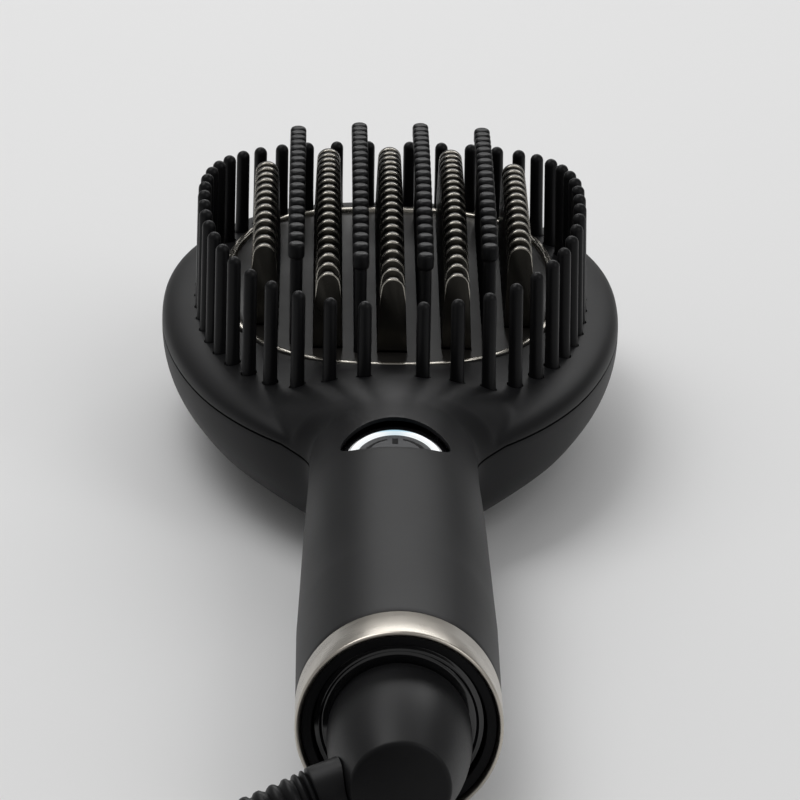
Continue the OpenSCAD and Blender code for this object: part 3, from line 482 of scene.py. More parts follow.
class CoverForm:
    """The outside of the covers in millimetres, worked out from the sizes in the panel."""

    def __init__(self):
        z = bpy.context.scene.brush_covers
        for name in ("handle_d", "neck_d", "handle_rise", "head_w", "head_c", "head_back",
                     "head_front", "seam_z", "deck_h", "seam_gap", "wall"):
            setattr(self, name, getattr(z, name) / MM)
        self.button_s = bpy.context.scene.brush_button.station / MM
        self.neck_s = self.head_c - self.head_back
        self.taper_start = 42

    def handle_r(self, s):
        return self.handle_d / 2 - 0.05 - (self.handle_d - self.neck_d) / 2 * min(
            1, max(0, (s - self.taper_start) / (self.neck_s - 1 - self.taper_start)))

    def axis_h(self, s):
        return AXIS_H + self.handle_rise * (ease(self.taper_start, self.button_s - 11, s)
                                        - ease(self.button_s - 11, self.neck_s + 4, s))

    def mid_h(self, s):
        return self.axis_h(s) + (self.seam_z - self.axis_h(s)) * ease(
            self.neck_s - 17, self.neck_s + 11, s)

    def head_u(self, s):
        return (s - self.head_c) / (self.head_back if s < self.head_c else self.head_front)

    def hood_h(self, s):
        return (self.axis_h(s) + self.handle_r(s) - self.mid_h(s)) * (
            1 - ease(self.neck_s + 4, self.head_c - 20, s))

    def hood_half(self, s):
        return min(self.side_half(s), self.handle_r(s) + 8 * ease(self.neck_s - 6, self.neck_s + 20, s))

    def side_fade(self, s):
        return 1 - ease(self.head_c - 55, self.head_c - 5, s)

    def side_half(self, s):
        half = self.head_w / 2 * sup(self.head_u(s), 2 if s < self.head_c else 2.3)
        if s >= self.head_c:
            return max(0.3, half)
        return blend_max(self.handle_r(s) * self.side_fade(s), half, 4)

    def deck(self, s):
        return self.deck_h * sup(self.head_u(s), 2.5 if s < self.head_c else 3.2)

    def top_h(self, x, s):
        hood = self.hood_h(s) * sup(x / self.hood_half(s), 2)
        return self.mid_h(s) + blend_max(hood, self.deck(s) * sup(x / self.side_half(s), 3), 6)

    def bottom_h(self, x, s):
        bowl = blend_max((self.mid_h(s) - self.axis_h(s) + self.handle_r(s)) * self.side_fade(s),
                         (self.seam_z + 0.5) * sup(self.head_u(s), 2.6), 12)
        z = self.mid_h(s) - bowl * sup(x / self.side_half(s), 2 + 0.4 * ease(
            self.neck_s - 11, self.neck_s + 39, s))
        return z if z > 0.4 else (z + 0.4) ** 2 / 1.6 if z > -0.4 else 0.0

    def corner(self, i, around, s):
        """Point i of a ring of points round the covers at a station."""
        half_ring = around // 2
        a = math.pi * i / half_ring
        x = self.side_half(s) * math.cos(a)
        if i % half_ring == 0:
            z = self.mid_h(s)
        else:
            z = self.top_h(x, s) if i < half_ring else self.bottom_h(x, s)
        return Vector((x * MM, at(s), z * MM))

    def stations(self):
        """Rings of the loft, closer together where the shape turns."""
        rear = [9.95 + (self.neck_s - 9.95) * i / 56 for i in range(56)]
        back = [self.head_c + self.head_back * math.sin(math.radians(-90 + 1.5 * i)) for i in range(60)]
        front = [self.head_c + self.head_front * math.sin(math.radians(1.6 * i)) for i in range(56)]
        return rear + back + front + [self.head_c + self.head_front * math.sin(math.radians(89.7))]


def plate_half(s, centre=PLATE_MID):
    """Half width of the heated plate's outline at a station, in millimetres."""
    z = bpy.context.scene.brush_field
    n = 2.5 if s < centre else 2.8
    return z.plate_w / MM / 2 * sup((s - centre) / (z.plate_l / MM / 2), n)


def pin_half(s):
    """Half width of the guard pins' oval at a station, in millimetres."""
    half = bpy.context.scene.brush_field.pin_oval / MM / 2
    return half * (sup((s - PIN_MID) / PIN_BACK, 2.5) if s < PIN_MID
                   else sup((s - PIN_MID) / PIN_FRONT, 2.2))


def outline_of(half, centre, back, front, count, grow=0.0):
    """Outline of an oval as (x, y) points in metres, grown outwards by grow millimetres."""
    points = []
    for i in range(count):
        a = 2 * math.pi * (i + 0.5) / count
        s = centre + (front if math.sin(a) > 0 else back) * math.sin(a)
        points.append(Vector((math.copysign(half(s), math.cos(a)), s)))
    out = []
    for i, p in enumerate(points):
        d = points[(i + 1) % count] - points[i - 1]
        n = Vector((d.y, -d.x)).normalized()
        q = p + n * grow
        out.append((q.x * MM, at(q.y)))
    return out


def plate_outline(count, grow=0.0):
    half_l = bpy.context.scene.brush_field.plate_l / MM / 2
    return outline_of(plate_half, PLATE_MID, half_l, half_l, count, grow)


def pin_places():
    """Where the guard pins stand, as (x, station) in millimetres."""
    z = bpy.context.scene.brush_field
    fine = []
    for i in range(361):
        a = math.radians(180 - i * 0.5)
        s = PIN_MID + (PIN_BACK if math.cos(a) < 0 else PIN_FRONT) * math.cos(a)
        fine.append(Vector((pin_half(s), s)))
    run = [0.0]
    for a, b in zip(fine, fine[1:]):
        run.append(run[-1] + (b - a).length)
    first, last = 11.3 / 2, run[-1] - 8.7 / 2
    places = []
    for i in range(z.pin_count):
        want = first + (last - first) * i / (z.pin_count - 1)
        k = max(j for j in range(len(run) - 1) if run[j] <= want)
        u = (want - run[k]) / (run[k + 1] - run[k])
        places.append(fine[k].lerp(fine[k + 1], u))
    return places + [Vector((-p.x, p.y)) for p in places]


def pin_frame(p):
    """Stands a guard pin on its place, leaning inwards."""
    inward = math.atan2(PLATE_MID - p.y, -p.x)
    return (Matrix.Translation((p.x * MM, at(p.y), PIN_FOOT_H * MM)) @ Matrix.Rotation(inward, 4, "Z")
            @ Matrix.Rotation(bpy.context.scene.brush_field.pin_lean, 4, "Y"))


def row_stations(count):
    """Stations of the fins or knobs of one row, in millimetres."""
    pitch = bpy.context.scene.brush_field.row_pitch / MM
    return [ROW_MID + pitch * (i - (count - 1) / 2) for i in range(count)]


def arch(top, mid, s):
    """Height of the gentle arch that the tips follow, in millimetres."""
    return top - (s - mid) ** 2 / (2 * bpy.context.scene.brush_field.arch_r / MM)


def cover_shell(form, planes, keep, around=144):
    """One cover's open outer skin, cut out of the loft by planes."""
    stations = form.stations()
    bm = bmesh.new()
    laid_sheet(bm, around, len(stations) - 1, lambda i, j: form.corner(i % around, around, stations[j]))
    bmesh.ops.remove_doubles(bm, verts=bm.verts, dist=1e-7)
    tip = [v for v in bm.verts if v.co.y > at(stations[-1]) - 1e-6]
    bmesh.ops.pointmerge(bm, verts=tip, merge_co=sum((v.co for v in tip), Vector()) / len(tip))
    for point, normal in planes:
        bmesh.ops.bisect_plane(bm, geom=bm.verts[:] + bm.edges[:] + bm.faces[:],
                               plane_co=point, plane_no=normal, dist=1e-6)
    gone = [f for f in bm.faces if not keep(f.calc_center_median())]
    bmesh.ops.delete(bm, geom=gone, context="FACES")
    bmesh.ops.recalc_face_normals(bm, faces=bm.faces)
    middle = Vector((0, at(200), 22 * MM))
    outward = sum((f.calc_center_median() - middle).dot(f.normal) * f.calc_area() for f in bm.faces)
    if outward < 0:
        bmesh.ops.reverse_faces(bm, faces=bm.faces)
    return bm


def walled(name, bm, wall):
    """Gives an open cover its wall, with the edge of the seam eased."""
    count = len(bm.verts)
    obj = bare_object(name, bm)
    solid = obj.modifiers.new("wall", "SOLIDIFY")
    solid.thickness, solid.offset, solid.use_even_offset = wall * MM, -1, True
    solid.thickness_clamp = 1.0
    applied(obj)
    eased_edges(obj, lambda e: e.verts[0].index < count and e.verts[1].index < count
                and len(e.link_faces) == 2 and e.calc_face_angle(0) > 0.9, 0.3 * MM)
    return obj


# ---- operators --------------------------------------------------------------
class BRUSH_OT_camera(bpy.types.Operator):
    """Sets up the camera at the photograph's view"""

    bl_idname = "brush.camera"
    bl_label = "Camera"

    def execute(self, context):
        data = bpy.data.cameras.new("Camera")
        data.sensor_width, data.lens = 36, 282.6
        data.clip_start, data.clip_end = 0.05, 20
        camera = bpy.data.objects.new("Camera", data)
        context.scene.collection.objects.link(camera)
        heading, pitch, roll = math.radians(0.85), math.radians(20), math.radians(0.9)
        ahead = Vector((math.sin(heading) * math.cos(pitch), math.cos(heading) * math.cos(pitch),
                        -math.sin(pitch)))
        camera.rotation_mode = "QUATERNION"
        camera.rotation_quaternion = ahead.to_track_quat("-Z", "Y") @ Quaternion((0, 0, 1), roll)
        camera.location = (-15.5 * MM, -1.1155, 0.440)
        context.scene.camera = camera
        return {"FINISHED"}


RELIEF_ROOT = (-10.6, -140.8, 14.8)
RELIEF_POINTS = [(-13.9, -141.7, 13.8), (-17.2, -142.6, 12.8), (-24, -144.5, 10.7),
                 (-31.5, -147.2, 8.9), (-38.5, -150.2, 7.6)]
RELIEF_END = (-41.4, -151.6, 7.1)
LEAD_POINTS = [(-45.2, -153.6, 6.4), (-52.6, -158.4, 5), (-60, -164.6, 3.9), (-66.6, -172.4, 3.5),
               (-71.8, -181.6, 3.5), (-75.6, -192, 3.5), (-77.6, -200.8, 3.6), (-78.8, -209.8, 3.8),
               (-79, -218, 4.25)]
LEAD_END = Vector((-79, -225, 4.25))
TAIL_POINTS = [(-80, -251, 24), (-80, -266, 16), (-76, -281, 8), (-67, -292, 4),
               (-54, -298, 4), (-41, -299, 6), (-35, -299, 7)]
TAIL_END = Vector((-29, -299, 7))


def smooth_route(points, steps):
    """Points on a smooth curve through the given ones."""
    p = [Vector(q) for q in points]
    out = []
    for i in range(len(p) - 1):
        a, b, c, d = p[max(0, i - 1)], p[i], p[i + 1], p[min(len(p) - 1, i + 2)]
        for k in range(steps):
            u = k / steps
            out.append(0.5 * (2 * b + u * (c - a) + u * u * (2 * a - 5 * b + 4 * c - d)
                              + u ** 3 * (3 * b - a - 3 * c + d)))
    return out + [p[-1]]


def coil_points(rings=48):
    """The stored turns: layers that spiral in and out by turns."""
    z = bpy.context.scene.brush_lead
    d, turns, layers = z.cord_d / MM, z.coil_turns, 4
    step = d + z.coil_clear / MM
    outer = z.coil_r / MM + turns * step / 2
    centre = LEAD_END + Vector((outer, -d, 0))
    points = []
    for i in range(rings * turns * layers + 1):
        t = i / rings
        k = t % (2 * turns)
        inward = k if k <= turns else 2 * turns - k
        n = round(t / turns)
        layer = 0 if n <= 0 else layers - 1 if n >= layers else \
            n - 1 + ease(n * turns - 0.25, n * turns + 0.25, t)
        r, a = outer - step * inward, 2 * math.pi * t
        points.append(centre + Vector((-r * math.cos(a), -r * math.sin(a), step * layer)))
    return points, centre, step


def sweep(bm, route, radius, sides):
    """A tube of rings along a route. radius(i) is the radius at point i."""
    last = len(route) - 1

    def ring_point(i, j):
        d = (route[min(last, j + 1)] - route[max(0, j - 1)]).normalized()
        side = d.cross(Vector((0, 0, 1))).normalized()
        up = side.cross(d)
        a = 2 * math.pi * (i % sides) / sides
        return (route[j] + radius(j) * (math.cos(a) * side + math.sin(a) * up)) * MM

    closed_sheet(bm, sides, last, ring_point)


def squared(a, n, w, h):
    """The place at angle a on a rounded square, w and h from its middle to its sides."""
    c, s = math.cos(a), math.sin(a)
    return math.copysign(abs(c) ** (2 / n), c) * w, math.copysign(abs(s) ** (2 / n), s) * h


def boot_axis():
    """Turns a shape drawn round Z so that it stands round the handle's axis."""
    return Matrix.Translation((0, at(0), AXIS_H * MM)) @ Matrix.Rotation(-math.pi / 2, 4, "X")


def boot_dome():
    """The boot's outside from its end to its widest part, as (radius, station) in millimetres."""
    z = bpy.context.scene.brush_end
    flange, tip, out = z.boot_d / MM / 2, z.boot_tip_d / MM / 2, z.boot_l / MM
    return [(tip + (flange - tip) * math.sin(math.pi / 2 * k / 16),
             -out + 0.8 + (out - 5.8) * k / 16) for k in range(17)]


class BRUSH_OT_lead(bpy.types.Operator):
    """Lays out the strain relief, the mains lead, its tie and its plug"""

    bl_idname = "brush.lead"
    bl_label = "Mains lead"

    def execute(self, context):
        z = context.scene.brush_lead
        d = z.cord_d / MM
        relief_route = [Vector(RELIEF_ROOT)] + smooth_route(RELIEF_POINTS, 16) + [Vector(RELIEF_END)]
        inside = relief_route[0] - (relief_route[1] - relief_route[0]).normalized() * 3
        last = len(relief_route)
        bm = bmesh.new()

        def relief_radius(j):
            u = j / last
            body = 5.6 - 1.7 * u
            if u < 0.06 or u > 0.94:
                return body
            return body - 0.75 * (0.5 - 0.5 * math.cos(2 * math.pi * 11 * (u - 0.06) / 0.88)) ** 2

        sweep(bm, [inside] + relief_route, relief_radius, 32)
        relief = bare_object("Strain_relief", bm)
        boot = bmesh.new()
        lathe(boot, [(0, -26.4)] + [(r + 0.3, h) for r, h in boot_dome()] + [(0, 1)], 96, boot_axis())
        cut_by(relief, boot)
        settle(relief, "boot", "root", ["strain_relief"], 50)

        turns, centre, step = coil_points()
        exit_point = turns[-1] + Vector((0, -d, 0))
        route = relief_route[:-1:2] + [Vector(RELIEF_END)] + smooth_route(LEAD_POINTS, 4)
        route += [LEAD_END] + turns + [exit_point, exit_point + Vector((0, -5, 0))]
        route += smooth_route(TAIL_POINTS, 4) + [TAIL_END]
        curve = bpy.data.curves.new("Mains_lead", "CURVE")
        curve.dimensions, curve.bevel_depth, curve.bevel_resolution = "3D", z.cord_d / 2, 4
        curve.use_fill_caps = True
        line = curve.splines.new("POLY")
        line.points.add(len(route) - 1)
        for point, p in zip(line.points, route):
            point.co = (*(p * MM), 1)
        lead = bpy.data.objects.new("Mains_lead", curve)
        context.scene.collection.objects.link(lead)
        settle(lead, "lead", "root", ["cord_lead", "cord_coil", "cord_tail"])
        run = sum((b - a).length for a, b in zip(route, route[1:])) * MM

        tie = self.tie(z, centre, step, d)
        plug, pins = self.plug()
        return {"FINISHED"}

    def tie(self, z, centre, step, d):
        """The strap that holds the turns together."""
        half_w = ((z.coil_turns - 1) * step + d) / 2 + 0.8
        half_h = (3 * step + d) / 2 + 0.05
        middle = centre + Vector((z.coil_r / MM, 0, half_h - 0.05 - d / 2))
        around = 64

        def place(i, j):
            a = 2 * math.pi * (i % around) / around
            x, h = squared(a, 7, half_w, half_h)
            out = Vector((math.cos(a), 0, math.sin(a))) * (0.05, 0.9, 0.9, 0.05)[j % 4]
            y = (-5.5, -5.5, 5.5, 5.5)[j % 4]
            return (middle + Vector((x, y, h)) + out) * MM

        bm = bmesh.new()
        closed_sheet(bm, around, 4, place, capped=False)
        sharp = [e for e in bm.edges if len(e.link_faces) == 2 and e.calc_face_angle(0) > 1]
        bevelled(bm, sharp, 0.25 * MM)
        return piece("Cord_tie", bm, "tie", stands_for=["cord_tie"])

    def plug(self):
        """The moulded plug and its two pins."""
        around = 64
        sections = [(0, 4.2, 4.2, 2), (0.3, 5.2, 5.2, 2), (1, 5.6, 5.6, 2), (6, 5.7, 5.6, 2),
                    (11, 7.6, 5.9, 2.1), (16, 11.4, 6.3, 2.3), (20, 14.9, 6.7, 2.6),
                    (24, 17.0, 6.85, 3.0), (29, 17.6, 6.85, 3.2), (34.8, 17.65, 6.85, 3.2),
                    (35.7, 17.3, 6.5, 3.1), (36, 16.6, 5.8, 3)]

        def place(i, j):
            x, w, h, n = sections[j]
            y, up = squared(2 * math.pi * (i % around) / around, n, w, h)
            return (TAIL_END + Vector((x, y, up))) * MM

        bm = bmesh.new()
        closed_sheet(bm, around, len(sections) - 1, place)
        plug = piece("Plug_body", bm, "lead", stands_for=["plug_body"], sharp=60)
        bm = bmesh.new()
        profile = rounded([(0, -0.5), (2, -0.5), (2, 19), (0, 19)], [0, 0.9], 5)
        for y in (-9.3, 9.3):
            lathe(bm, profile, 32,
                  Matrix.Translation((TAIL_END + Vector((36, y, 0))) * MM)
                  @ Matrix.Rotation(math.pi / 2, 4, "Y"))
        pins = piece("Plug_pins", bm, ["nickel", "lead"], stands_for=["plug_pins"])
        sleeve_end = TAIL_END.x + 36 + 10
        for face in pins.data.polygons:
            if face.center.x < sleeve_end * MM:
                face.material_index = 1
        return plug, pins


class BRUSH_OT_covers(bpy.types.Operator):
    """Builds the top cover with its handle, and the back cover"""

    bl_idname = "brush.covers"
    bl_label = "Covers"

    def execute(self, context):
        form = CoverForm()
        half_gap = form.seam_gap / 2
        z = context.scene.brush_field
        button = context.scene.brush_button
        hole_r, recess_r = z.pin_d / MM / 2 + 0.3, button.recess_d / MM / 2

        planes, below = self.seam(form, half_gap)
        bm = cover_shell(form, planes, lambda c: not below(c))
        top = walled("Top_cover", bm, form.wall)
        cutters = bmesh.new()
        prism(cutters, plate_outline(144, 0.3), 19 * MM, 40 * MM)
        for p in pin_places():
            lathe(cutters, [(0, -6), (hole_r, -6), (hole_r, 20), (0, 20)], 24, pin_frame(p))
        lathe(cutters, [(0, 0), (recess_r, 0), (recess_r, 12), (0, 12)], 96,
              Matrix.Translation((0, button.station - ORIGIN, button.floor_z - 6 * MM)))
        cut_by(top, cutters)
        centre = Vector((0, button.station - ORIGIN))

        def on_recess_rim(e):
            return all(abs((v.co.xy - centre).length - recess_r * MM) < 2e-5 and v.co.z > 31 * MM
                       for v in e.verts) and len(e.link_faces) == 2 and e.calc_face_angle(0) > 0.5 \
                and abs(e.verts[0].co.z - e.verts[1].co.z) < 0.8 * MM

        eased_edges(top, on_recess_rim, 0.35 * MM, 3)
        bm = bmesh.new()
        bm.from_mesh(top.data)
        rib = rounded([(15.1, 12), (15.1, 1), (16.9, 1), (16.9, 12), (15.1, 12)], [0.2, 0.3, 0.1])
        lathe(bm, rib, 96, boot_axis())
        bm.to_mesh(top.data)
        bm.free()
        settle(top, "soft", "root", ["main_housing"])

        planes, below = self.seam(form, -half_gap)
        bm = cover_shell(form, planes, below)
        back = walled("Back_cover", bm, form.wall)
        cutters = bmesh.new()
        for x, s in ((-10, 133), (10, 133), (-22, 194.25), (22, 194.25), (-22, 220.25), (22, 220.25)):
            lathe(cutters, [(0, -1), (3, -1), (3, 12), (0, 12)], 40,
                  Matrix.Translation((x * MM, at(s), 0)))
        cut_by(back, cutters)
        settle(back, "soft", "root", ["back_cover"])
        return {"FINISHED"}

    def seam(self, form, shift):
        """Planes that bound the back cover's space, and a test for points in it."""
        corner_h, corner_end = 3, 8
        near, bend = form.neck_s - 6 - shift, form.neck_s + corner_end
        low, high = form.seam_z - corner_h + shift, form.seam_z + shift
        slope = (high - low) / (bend - near)
        planes = [((0, 0, high * MM), (0, 0, 1)), ((0, at(near), 0), (0, 1, 0)),
                  ((0, at(near), low * MM), (0, -slope, 1))]

        def below(c):
            s = (c.y + ORIGIN) / MM
            return s > near and c.z < min(high, low + slope * (s - near)) * MM

        return planes, below


class BRUSH_OT_heated_plate(bpy.types.Operator):
    """Builds the heated plate with its rim and the five rows of fins"""

    bl_idname = "brush.heated_plate"
    bl_label = "Heated plate and fins"

    def execute(self, context):
        z = context.scene.brush_field
        top = context.scene.brush_covers.seam_z / MM + PLATE_RISE
        around = 144
        profile = [(0, top - 2), (0, top + 0.75), (-0.12, top + 0.9), (-0.5, top + 0.95),
                   (-1.1, top + 0.9), (-1.3, top + 0.75), (-1.5, top + 0.15), (-1.8, top), (-3, top)]
        rings = [plate_outline(around, grow) for grow, _ in profile]
        bm = bmesh.new()
        closed_sheet(bm, around, len(profile) - 1,
                     lambda i, j: Vector((*rings[j][i % around], profile[j][1] * MM)))
        # Faces on top of the rim take the second finish, a painted highlight.
        for face in bm.faces:
            middle = face.calc_center_median()
            gets_painted_highlight = middle.z > (top + 0.2) * MM and len(face.verts) == 4
            face.material_index = 1 if gets_painted_highlight else 0
        piece("Heated_plate", bm, ["plate", "rim"], stands_for=["heater_plate"], sharp=40)

        for row, count in enumerate(FIN_COUNTS):
            x = (row - 2) * z.row_step / MM
            stations = row_stations(count)
            bm = bmesh.new()
            for s in stations:
                self.fin(bm, z, x, s, top)
            self.strip(bm, z, x, stations, top)
            # The second finish is a painted highlight on the fins' bevelled edges.
            piece(f"Fin_row_{row + 1}", bm, ["titanium", "rim"],
                  stands_for=[f"fin_row_{row + 1}"], sharp=30)
        return {"FINISHED"}

    def fin(self, bm, z, x, s, base):
        """One fin: a flat tongue with a round top and softened edges that carry a painted highlight."""
        tip, w, t = arch(z.fin_top / MM, ROW_MID, s), z.fin_w / MM / 2, z.fin_t / MM
        outline = [(-w - FIN_FLARE, base + 0.05), (w + FIN_FLARE, base + 0.05)]
        outline += [(w * math.cos(a), tip - w + w * math.sin(a))
                    for a in (math.pi * i / 12 for i in range(13))]
        before = set(bm.verts)
        made = bmesh.ops.create_circle(bm, segments=len(outline), radius=1, cap_ends=True)
        ring = sorted(made["verts"], key=lambda v: math.atan2(v.co.y, v.co.x) % (2 * math.pi))
        for v, p in zip(ring, outline):
            v.co = ((x + p[0]) * MM, at(s - t / 2), p[1] * MM)
        face = ring[0].link_faces[0]
        out = bmesh.ops.extrude_face_region(bm, geom=[face], use_keep_orig=True)
        moved = [v for v in out["geom"] if isinstance(v, bmesh.types.BMVert)]
        bmesh.ops.translate(bm, vec=(0, t * MM, 0), verts=moved)
        fresh = [v for v in bm.verts if v not in before]
        faces = list({f for v in fresh for f in v.link_faces})
        bmesh.ops.recalc_face_normals(bm, faces=faces)
        painted_highlight_edges = [e for e in {e for f in faces for e in f.edges}
                if len(e.link_faces) == 2 and any(len(f.verts) > 4 for f in e.link_faces)
                and min(v.co.z for v in e.verts) > (base + 0.1) * MM]
        # The bevel faces take the second finish: a painted highlight along the fin's edges.
        for face in bevelled(bm, painted_highlight_edges, 0.3 * MM)["faces"]:
            face.material_index = 1

    def strip(self, bm, z, x, stations, base):
        """The strip that a row of fins stands on."""
        w, t = z.fin_w / MM / 2 + FIN_FLARE, z.fin_t / MM / 2
        low, high = stations[0] - t, stations[-1] + t
        outline = [((x + a) * MM, at(b)) for a, b in ((w, low), (w, high), (-w, high), (-w, low))]
        verts = prism(bm, outline, base * MM, (base + 0.8) * MM)
        edges = [e for e in {e for v in verts for e in v.link_edges}
                 if all(v.co.z > (base + 0.7) * MM for v in e.verts)]
        bevelled(bm, edges, 0.3 * MM)


class BRUSH_OT_knobs(bpy.types.Operator):
    """Builds the four rows of cool knobs between the fins"""

    bl_idname = "brush.knobs"
    bl_label = "Knobs"

    def execute(self, context):
        z = context.scene.brush_field
        floor = context.scene.brush_covers.seam_z / MM + PLATE_RISE - 3.2
        r, stem = z.knob_d / MM / 2, z.stem_d / MM / 2
        for row, count in enumerate(KNOB_COUNTS):
            x = (row - 1.5) * z.row_step / MM
            bm = bmesh.new()
            for s in row_stations(count):
                tip = arch(z.knob_top / MM, ROW_MID, s)
                low = tip - 2 * r
                profile = [(0, floor), (stem, floor), (stem, low), (r - 0.35, low + 0.1),
                           (r - 0.1, low + 0.35), (r, low + 0.75)]
                profile += [(r - 0.8 + 0.8 * math.cos(a), tip - 0.8 + 0.8 * math.sin(a))
                            for a in (math.pi / 2 * k / 5 for k in range(6))] + [(0, tip + 0.02)]
                lathe(bm, profile, 20,
                      Matrix.Translation((x * MM, at(s), 0)))
            piece(f"Knob_row_{row + 1}", bm, "bristle", stands_for=[f"knob_row_{row + 1}"],
                  sharp=40)
        return {"FINISHED"}


class BRUSH_OT_guard_pins(bpy.types.Operator):
    """Builds the ring of guard pins and the carrier they stand on"""

    bl_idname = "brush.guard_pins"
    bl_label = "Guard pins"

    def execute(self, context):
        z = context.scene.brush_field
        r = z.pin_d / MM / 2
        bm = bmesh.new()
        for p in pin_places():
            tall = arch(z.pin_top / MM, 185, p.y) - PIN_FOOT_H
            profile = [(0, 0), (r * 1.04, 0), (r * 1.04, 6), (r, 10), (r * 0.985, tall - r)]
            profile += [(r * 0.985 * math.cos(a), tall - r + r * math.sin(a))
                        for a in (math.pi / 2 * k / 6 for k in range(1, 6))] + [(0, tall)]
            lathe(bm, profile, 24, pin_frame(p))
        around = 120
        rings = [outline_of(pin_half, PIN_MID, PIN_BACK, PIN_FRONT, around, grow) for grow in (-2, 2)]
        path = [(0, 21), (1, 21), (1, 23), (0, 23)]
        closed_sheet(bm, around, 4, lambda i, j: Vector(
            (*rings[path[j % 4][0]][i % around], path[j % 4][1] * MM)), capped=False)
        piece("Guard_pins", bm, "bristle", stands_for=[f"guard_bristles_{i}" for i in range(1, 5)],
              sharp=50)
        return {"FINISHED"}


class BRUSH_OT_button(bpy.types.Operator):
    """Builds the power button, its lit ring and the glossy recess"""

    bl_idname = "brush.button"
    bl_label = "Power button"

    def execute(self, context):
        z = context.scene.brush_button
        s, floor = z.station / MM, z.floor_z / MM
        stand = Matrix.Translation((0, at(s), 0))
        light_r, light_w = z.light_d / MM / 2, z.light_w / MM
        cap_top = floor - CAP_DROP
        pocket = cap_top - CAP_T - CAP_TRAVEL - CAP_SPARE

        bm = bmesh.new()
        outer, inner = z.recess_d / MM / 2 - 0.05, light_r - light_w
        profile = [(2.4, pocket - 1), (outer, pocket - 1), (outer, floor - 0.15), (outer - 0.15, floor),
                   (light_r + 1.0, floor), (light_r + 0.4, floor), (light_r + 0.05, floor - 0.1),
                   (light_r + 0.05, floor - 3), (inner, floor - 3), (inner, pocket), (2.4, pocket),
                   (2.4, pocket - 1)]
        lathe(bm, profile, 96, stand)
        self.arched(bm, z, floor - 1)
        piece("Button_recess", bm, "gloss", stands_for=["button_bezel"], sharp=40)

        bm = bmesh.new()
        profile = rounded([(inner, floor - 3), (light_r, floor - 3), (light_r, floor),
                           (inner, floor), (inner, floor - 3)], [0.1, 0.25, 0.25])
        lathe(bm, profile, 96, stand)
        self.arched(bm, z, floor - 1)
        piece("Lit_ring", bm, "light", stands_for=["light_ring"], sharp=50)

        bm = bmesh.new()
        r = inner - z.gap / MM
        profile = rounded([(0, cap_top - CAP_T), (r, cap_top - CAP_T), (r, cap_top),
                           (r * 0.5, cap_top - 0.12), (0, cap_top - 0.16)], [0.2, 0.35, 1.5])
        lathe(bm, profile, 96, stand)
        self.arched(bm, z, cap_top - 1)
        piece("Power_button", bm, "button", "button", ["power_button"], sharp=40)
        self.sign(z, s, cap_top)
        return {"FINISHED"}

    def arched(self, bm, z, above):
        """Bends what lies above a height down to both sides, like the handle's round."""
        for v in bm.verts:
            if v.co.z > above * MM:
                v.co.z -= z.arch_r - math.sqrt(z.arch_r ** 2 - v.co.x ** 2)

    def sign(self, z, s, cap_top):
        """The standard power sign: an open ring with a bar in its gap."""
        bm = bmesh.new()
        steps, low, high = 72, cap_top - 0.3, cap_top - 0.06
        gap = math.radians(34)

        def place(i, j):
            a = math.pi / 2 + gap / 2 + (2 * math.pi - gap) * i / steps
            r, h = ((4.7, low), (4.7, high), (5.7, high), (5.7, low), (4.7, low))[j]
            return Vector((r * math.cos(a) * MM, at(s) + r * math.sin(a) * MM, h * MM))

        closed_sheet(bm, steps, 4, place)
        bar = [(0.55 * MM, at(s + 2.6)), (0.55 * MM, at(s + 6.0)), (-0.55 * MM, at(s + 6.0)),
               (-0.55 * MM, at(s + 2.6))]
        prism(bm, bar, low * MM, high * MM)
        bmesh.ops.recalc_face_normals(bm, faces=bm.faces)
        self.arched(bm, z, low - 1)
        piece("Power_sign", bm, "sign", "button")


class BRUSH_OT_handle_end(bpy.types.Operator):
    """Builds the metal end ring, the glossy end cap and the swivelling boot"""

    bl_idname = "brush.handle_end"
    bl_label = "Handle end"

    def execute(self, context):
        z = context.scene.brush_end
        axis = boot_axis()
        outer, wall = context.scene.brush_covers.handle_d / MM / 2, z.ring_t / MM
        long = z.ring_l / MM

        bm = bmesh.new()
        profile = [(outer - wall, long), (outer - wall, 0.45), (outer - wall + 0.3, 0.08),
                   (outer - 0.45, 0), (outer - 0.2, 0.08), (outer - 0.02, 0.4), (outer, 0.8),
                   (outer, long - 0.3), (outer - 0.12, long - 0.05), (outer - 0.3, long),
                   (outer - wall, long)]
        lathe(bm, profile, 160, axis)
        piece("End_ring", bm, "nickel", stands_for=["end_ring"], sharp=50)

        bm = bmesh.new()
        cap = 15.0
        profile = rounded([(7, 2), (13.2, 2), (13.8, 2.5), (cap - 0.3, 2.5), (cap, 2.9), (cap, 6), (10, 6),
                           (10, 20), (7, 20), (7, 2)], [0.3, 0.3, 0.2, 0.1, 0, 0.3, 0.3, 0.3])
        lathe(bm, profile, 128, axis)
        piece("End_cap", bm, "gloss", stands_for=["end_cap"], sharp=40)

        bm = bmesh.new()
        flange, tip, out = z.boot_d / MM / 2, z.boot_tip_d / MM / 2, z.boot_l / MM
        profile = [(0, -out), (tip - 0.9, -out), (tip - 0.45, -out + 0.12), (tip - 0.12, -out + 0.42)]
        profile += boot_dome()
        profile += [(flange, -3), (flange - 0.1, -1), (flange - 0.3, 0.2), (flange - 0.7, 1.2),
                    (flange - 1.1, 1.6), (flange - 1.6, 1.7), (6.94, 1.7), (6.94, 20.3), (4.2, 20.3),
                    (4.2, 33), (0, 33)]
        lathe(bm, profile, 96, axis)
        piece("Swivel_boot", bm, "boot", "swivel", ["swivel_boot"], sharp=40)
        return {"FINISHED"}


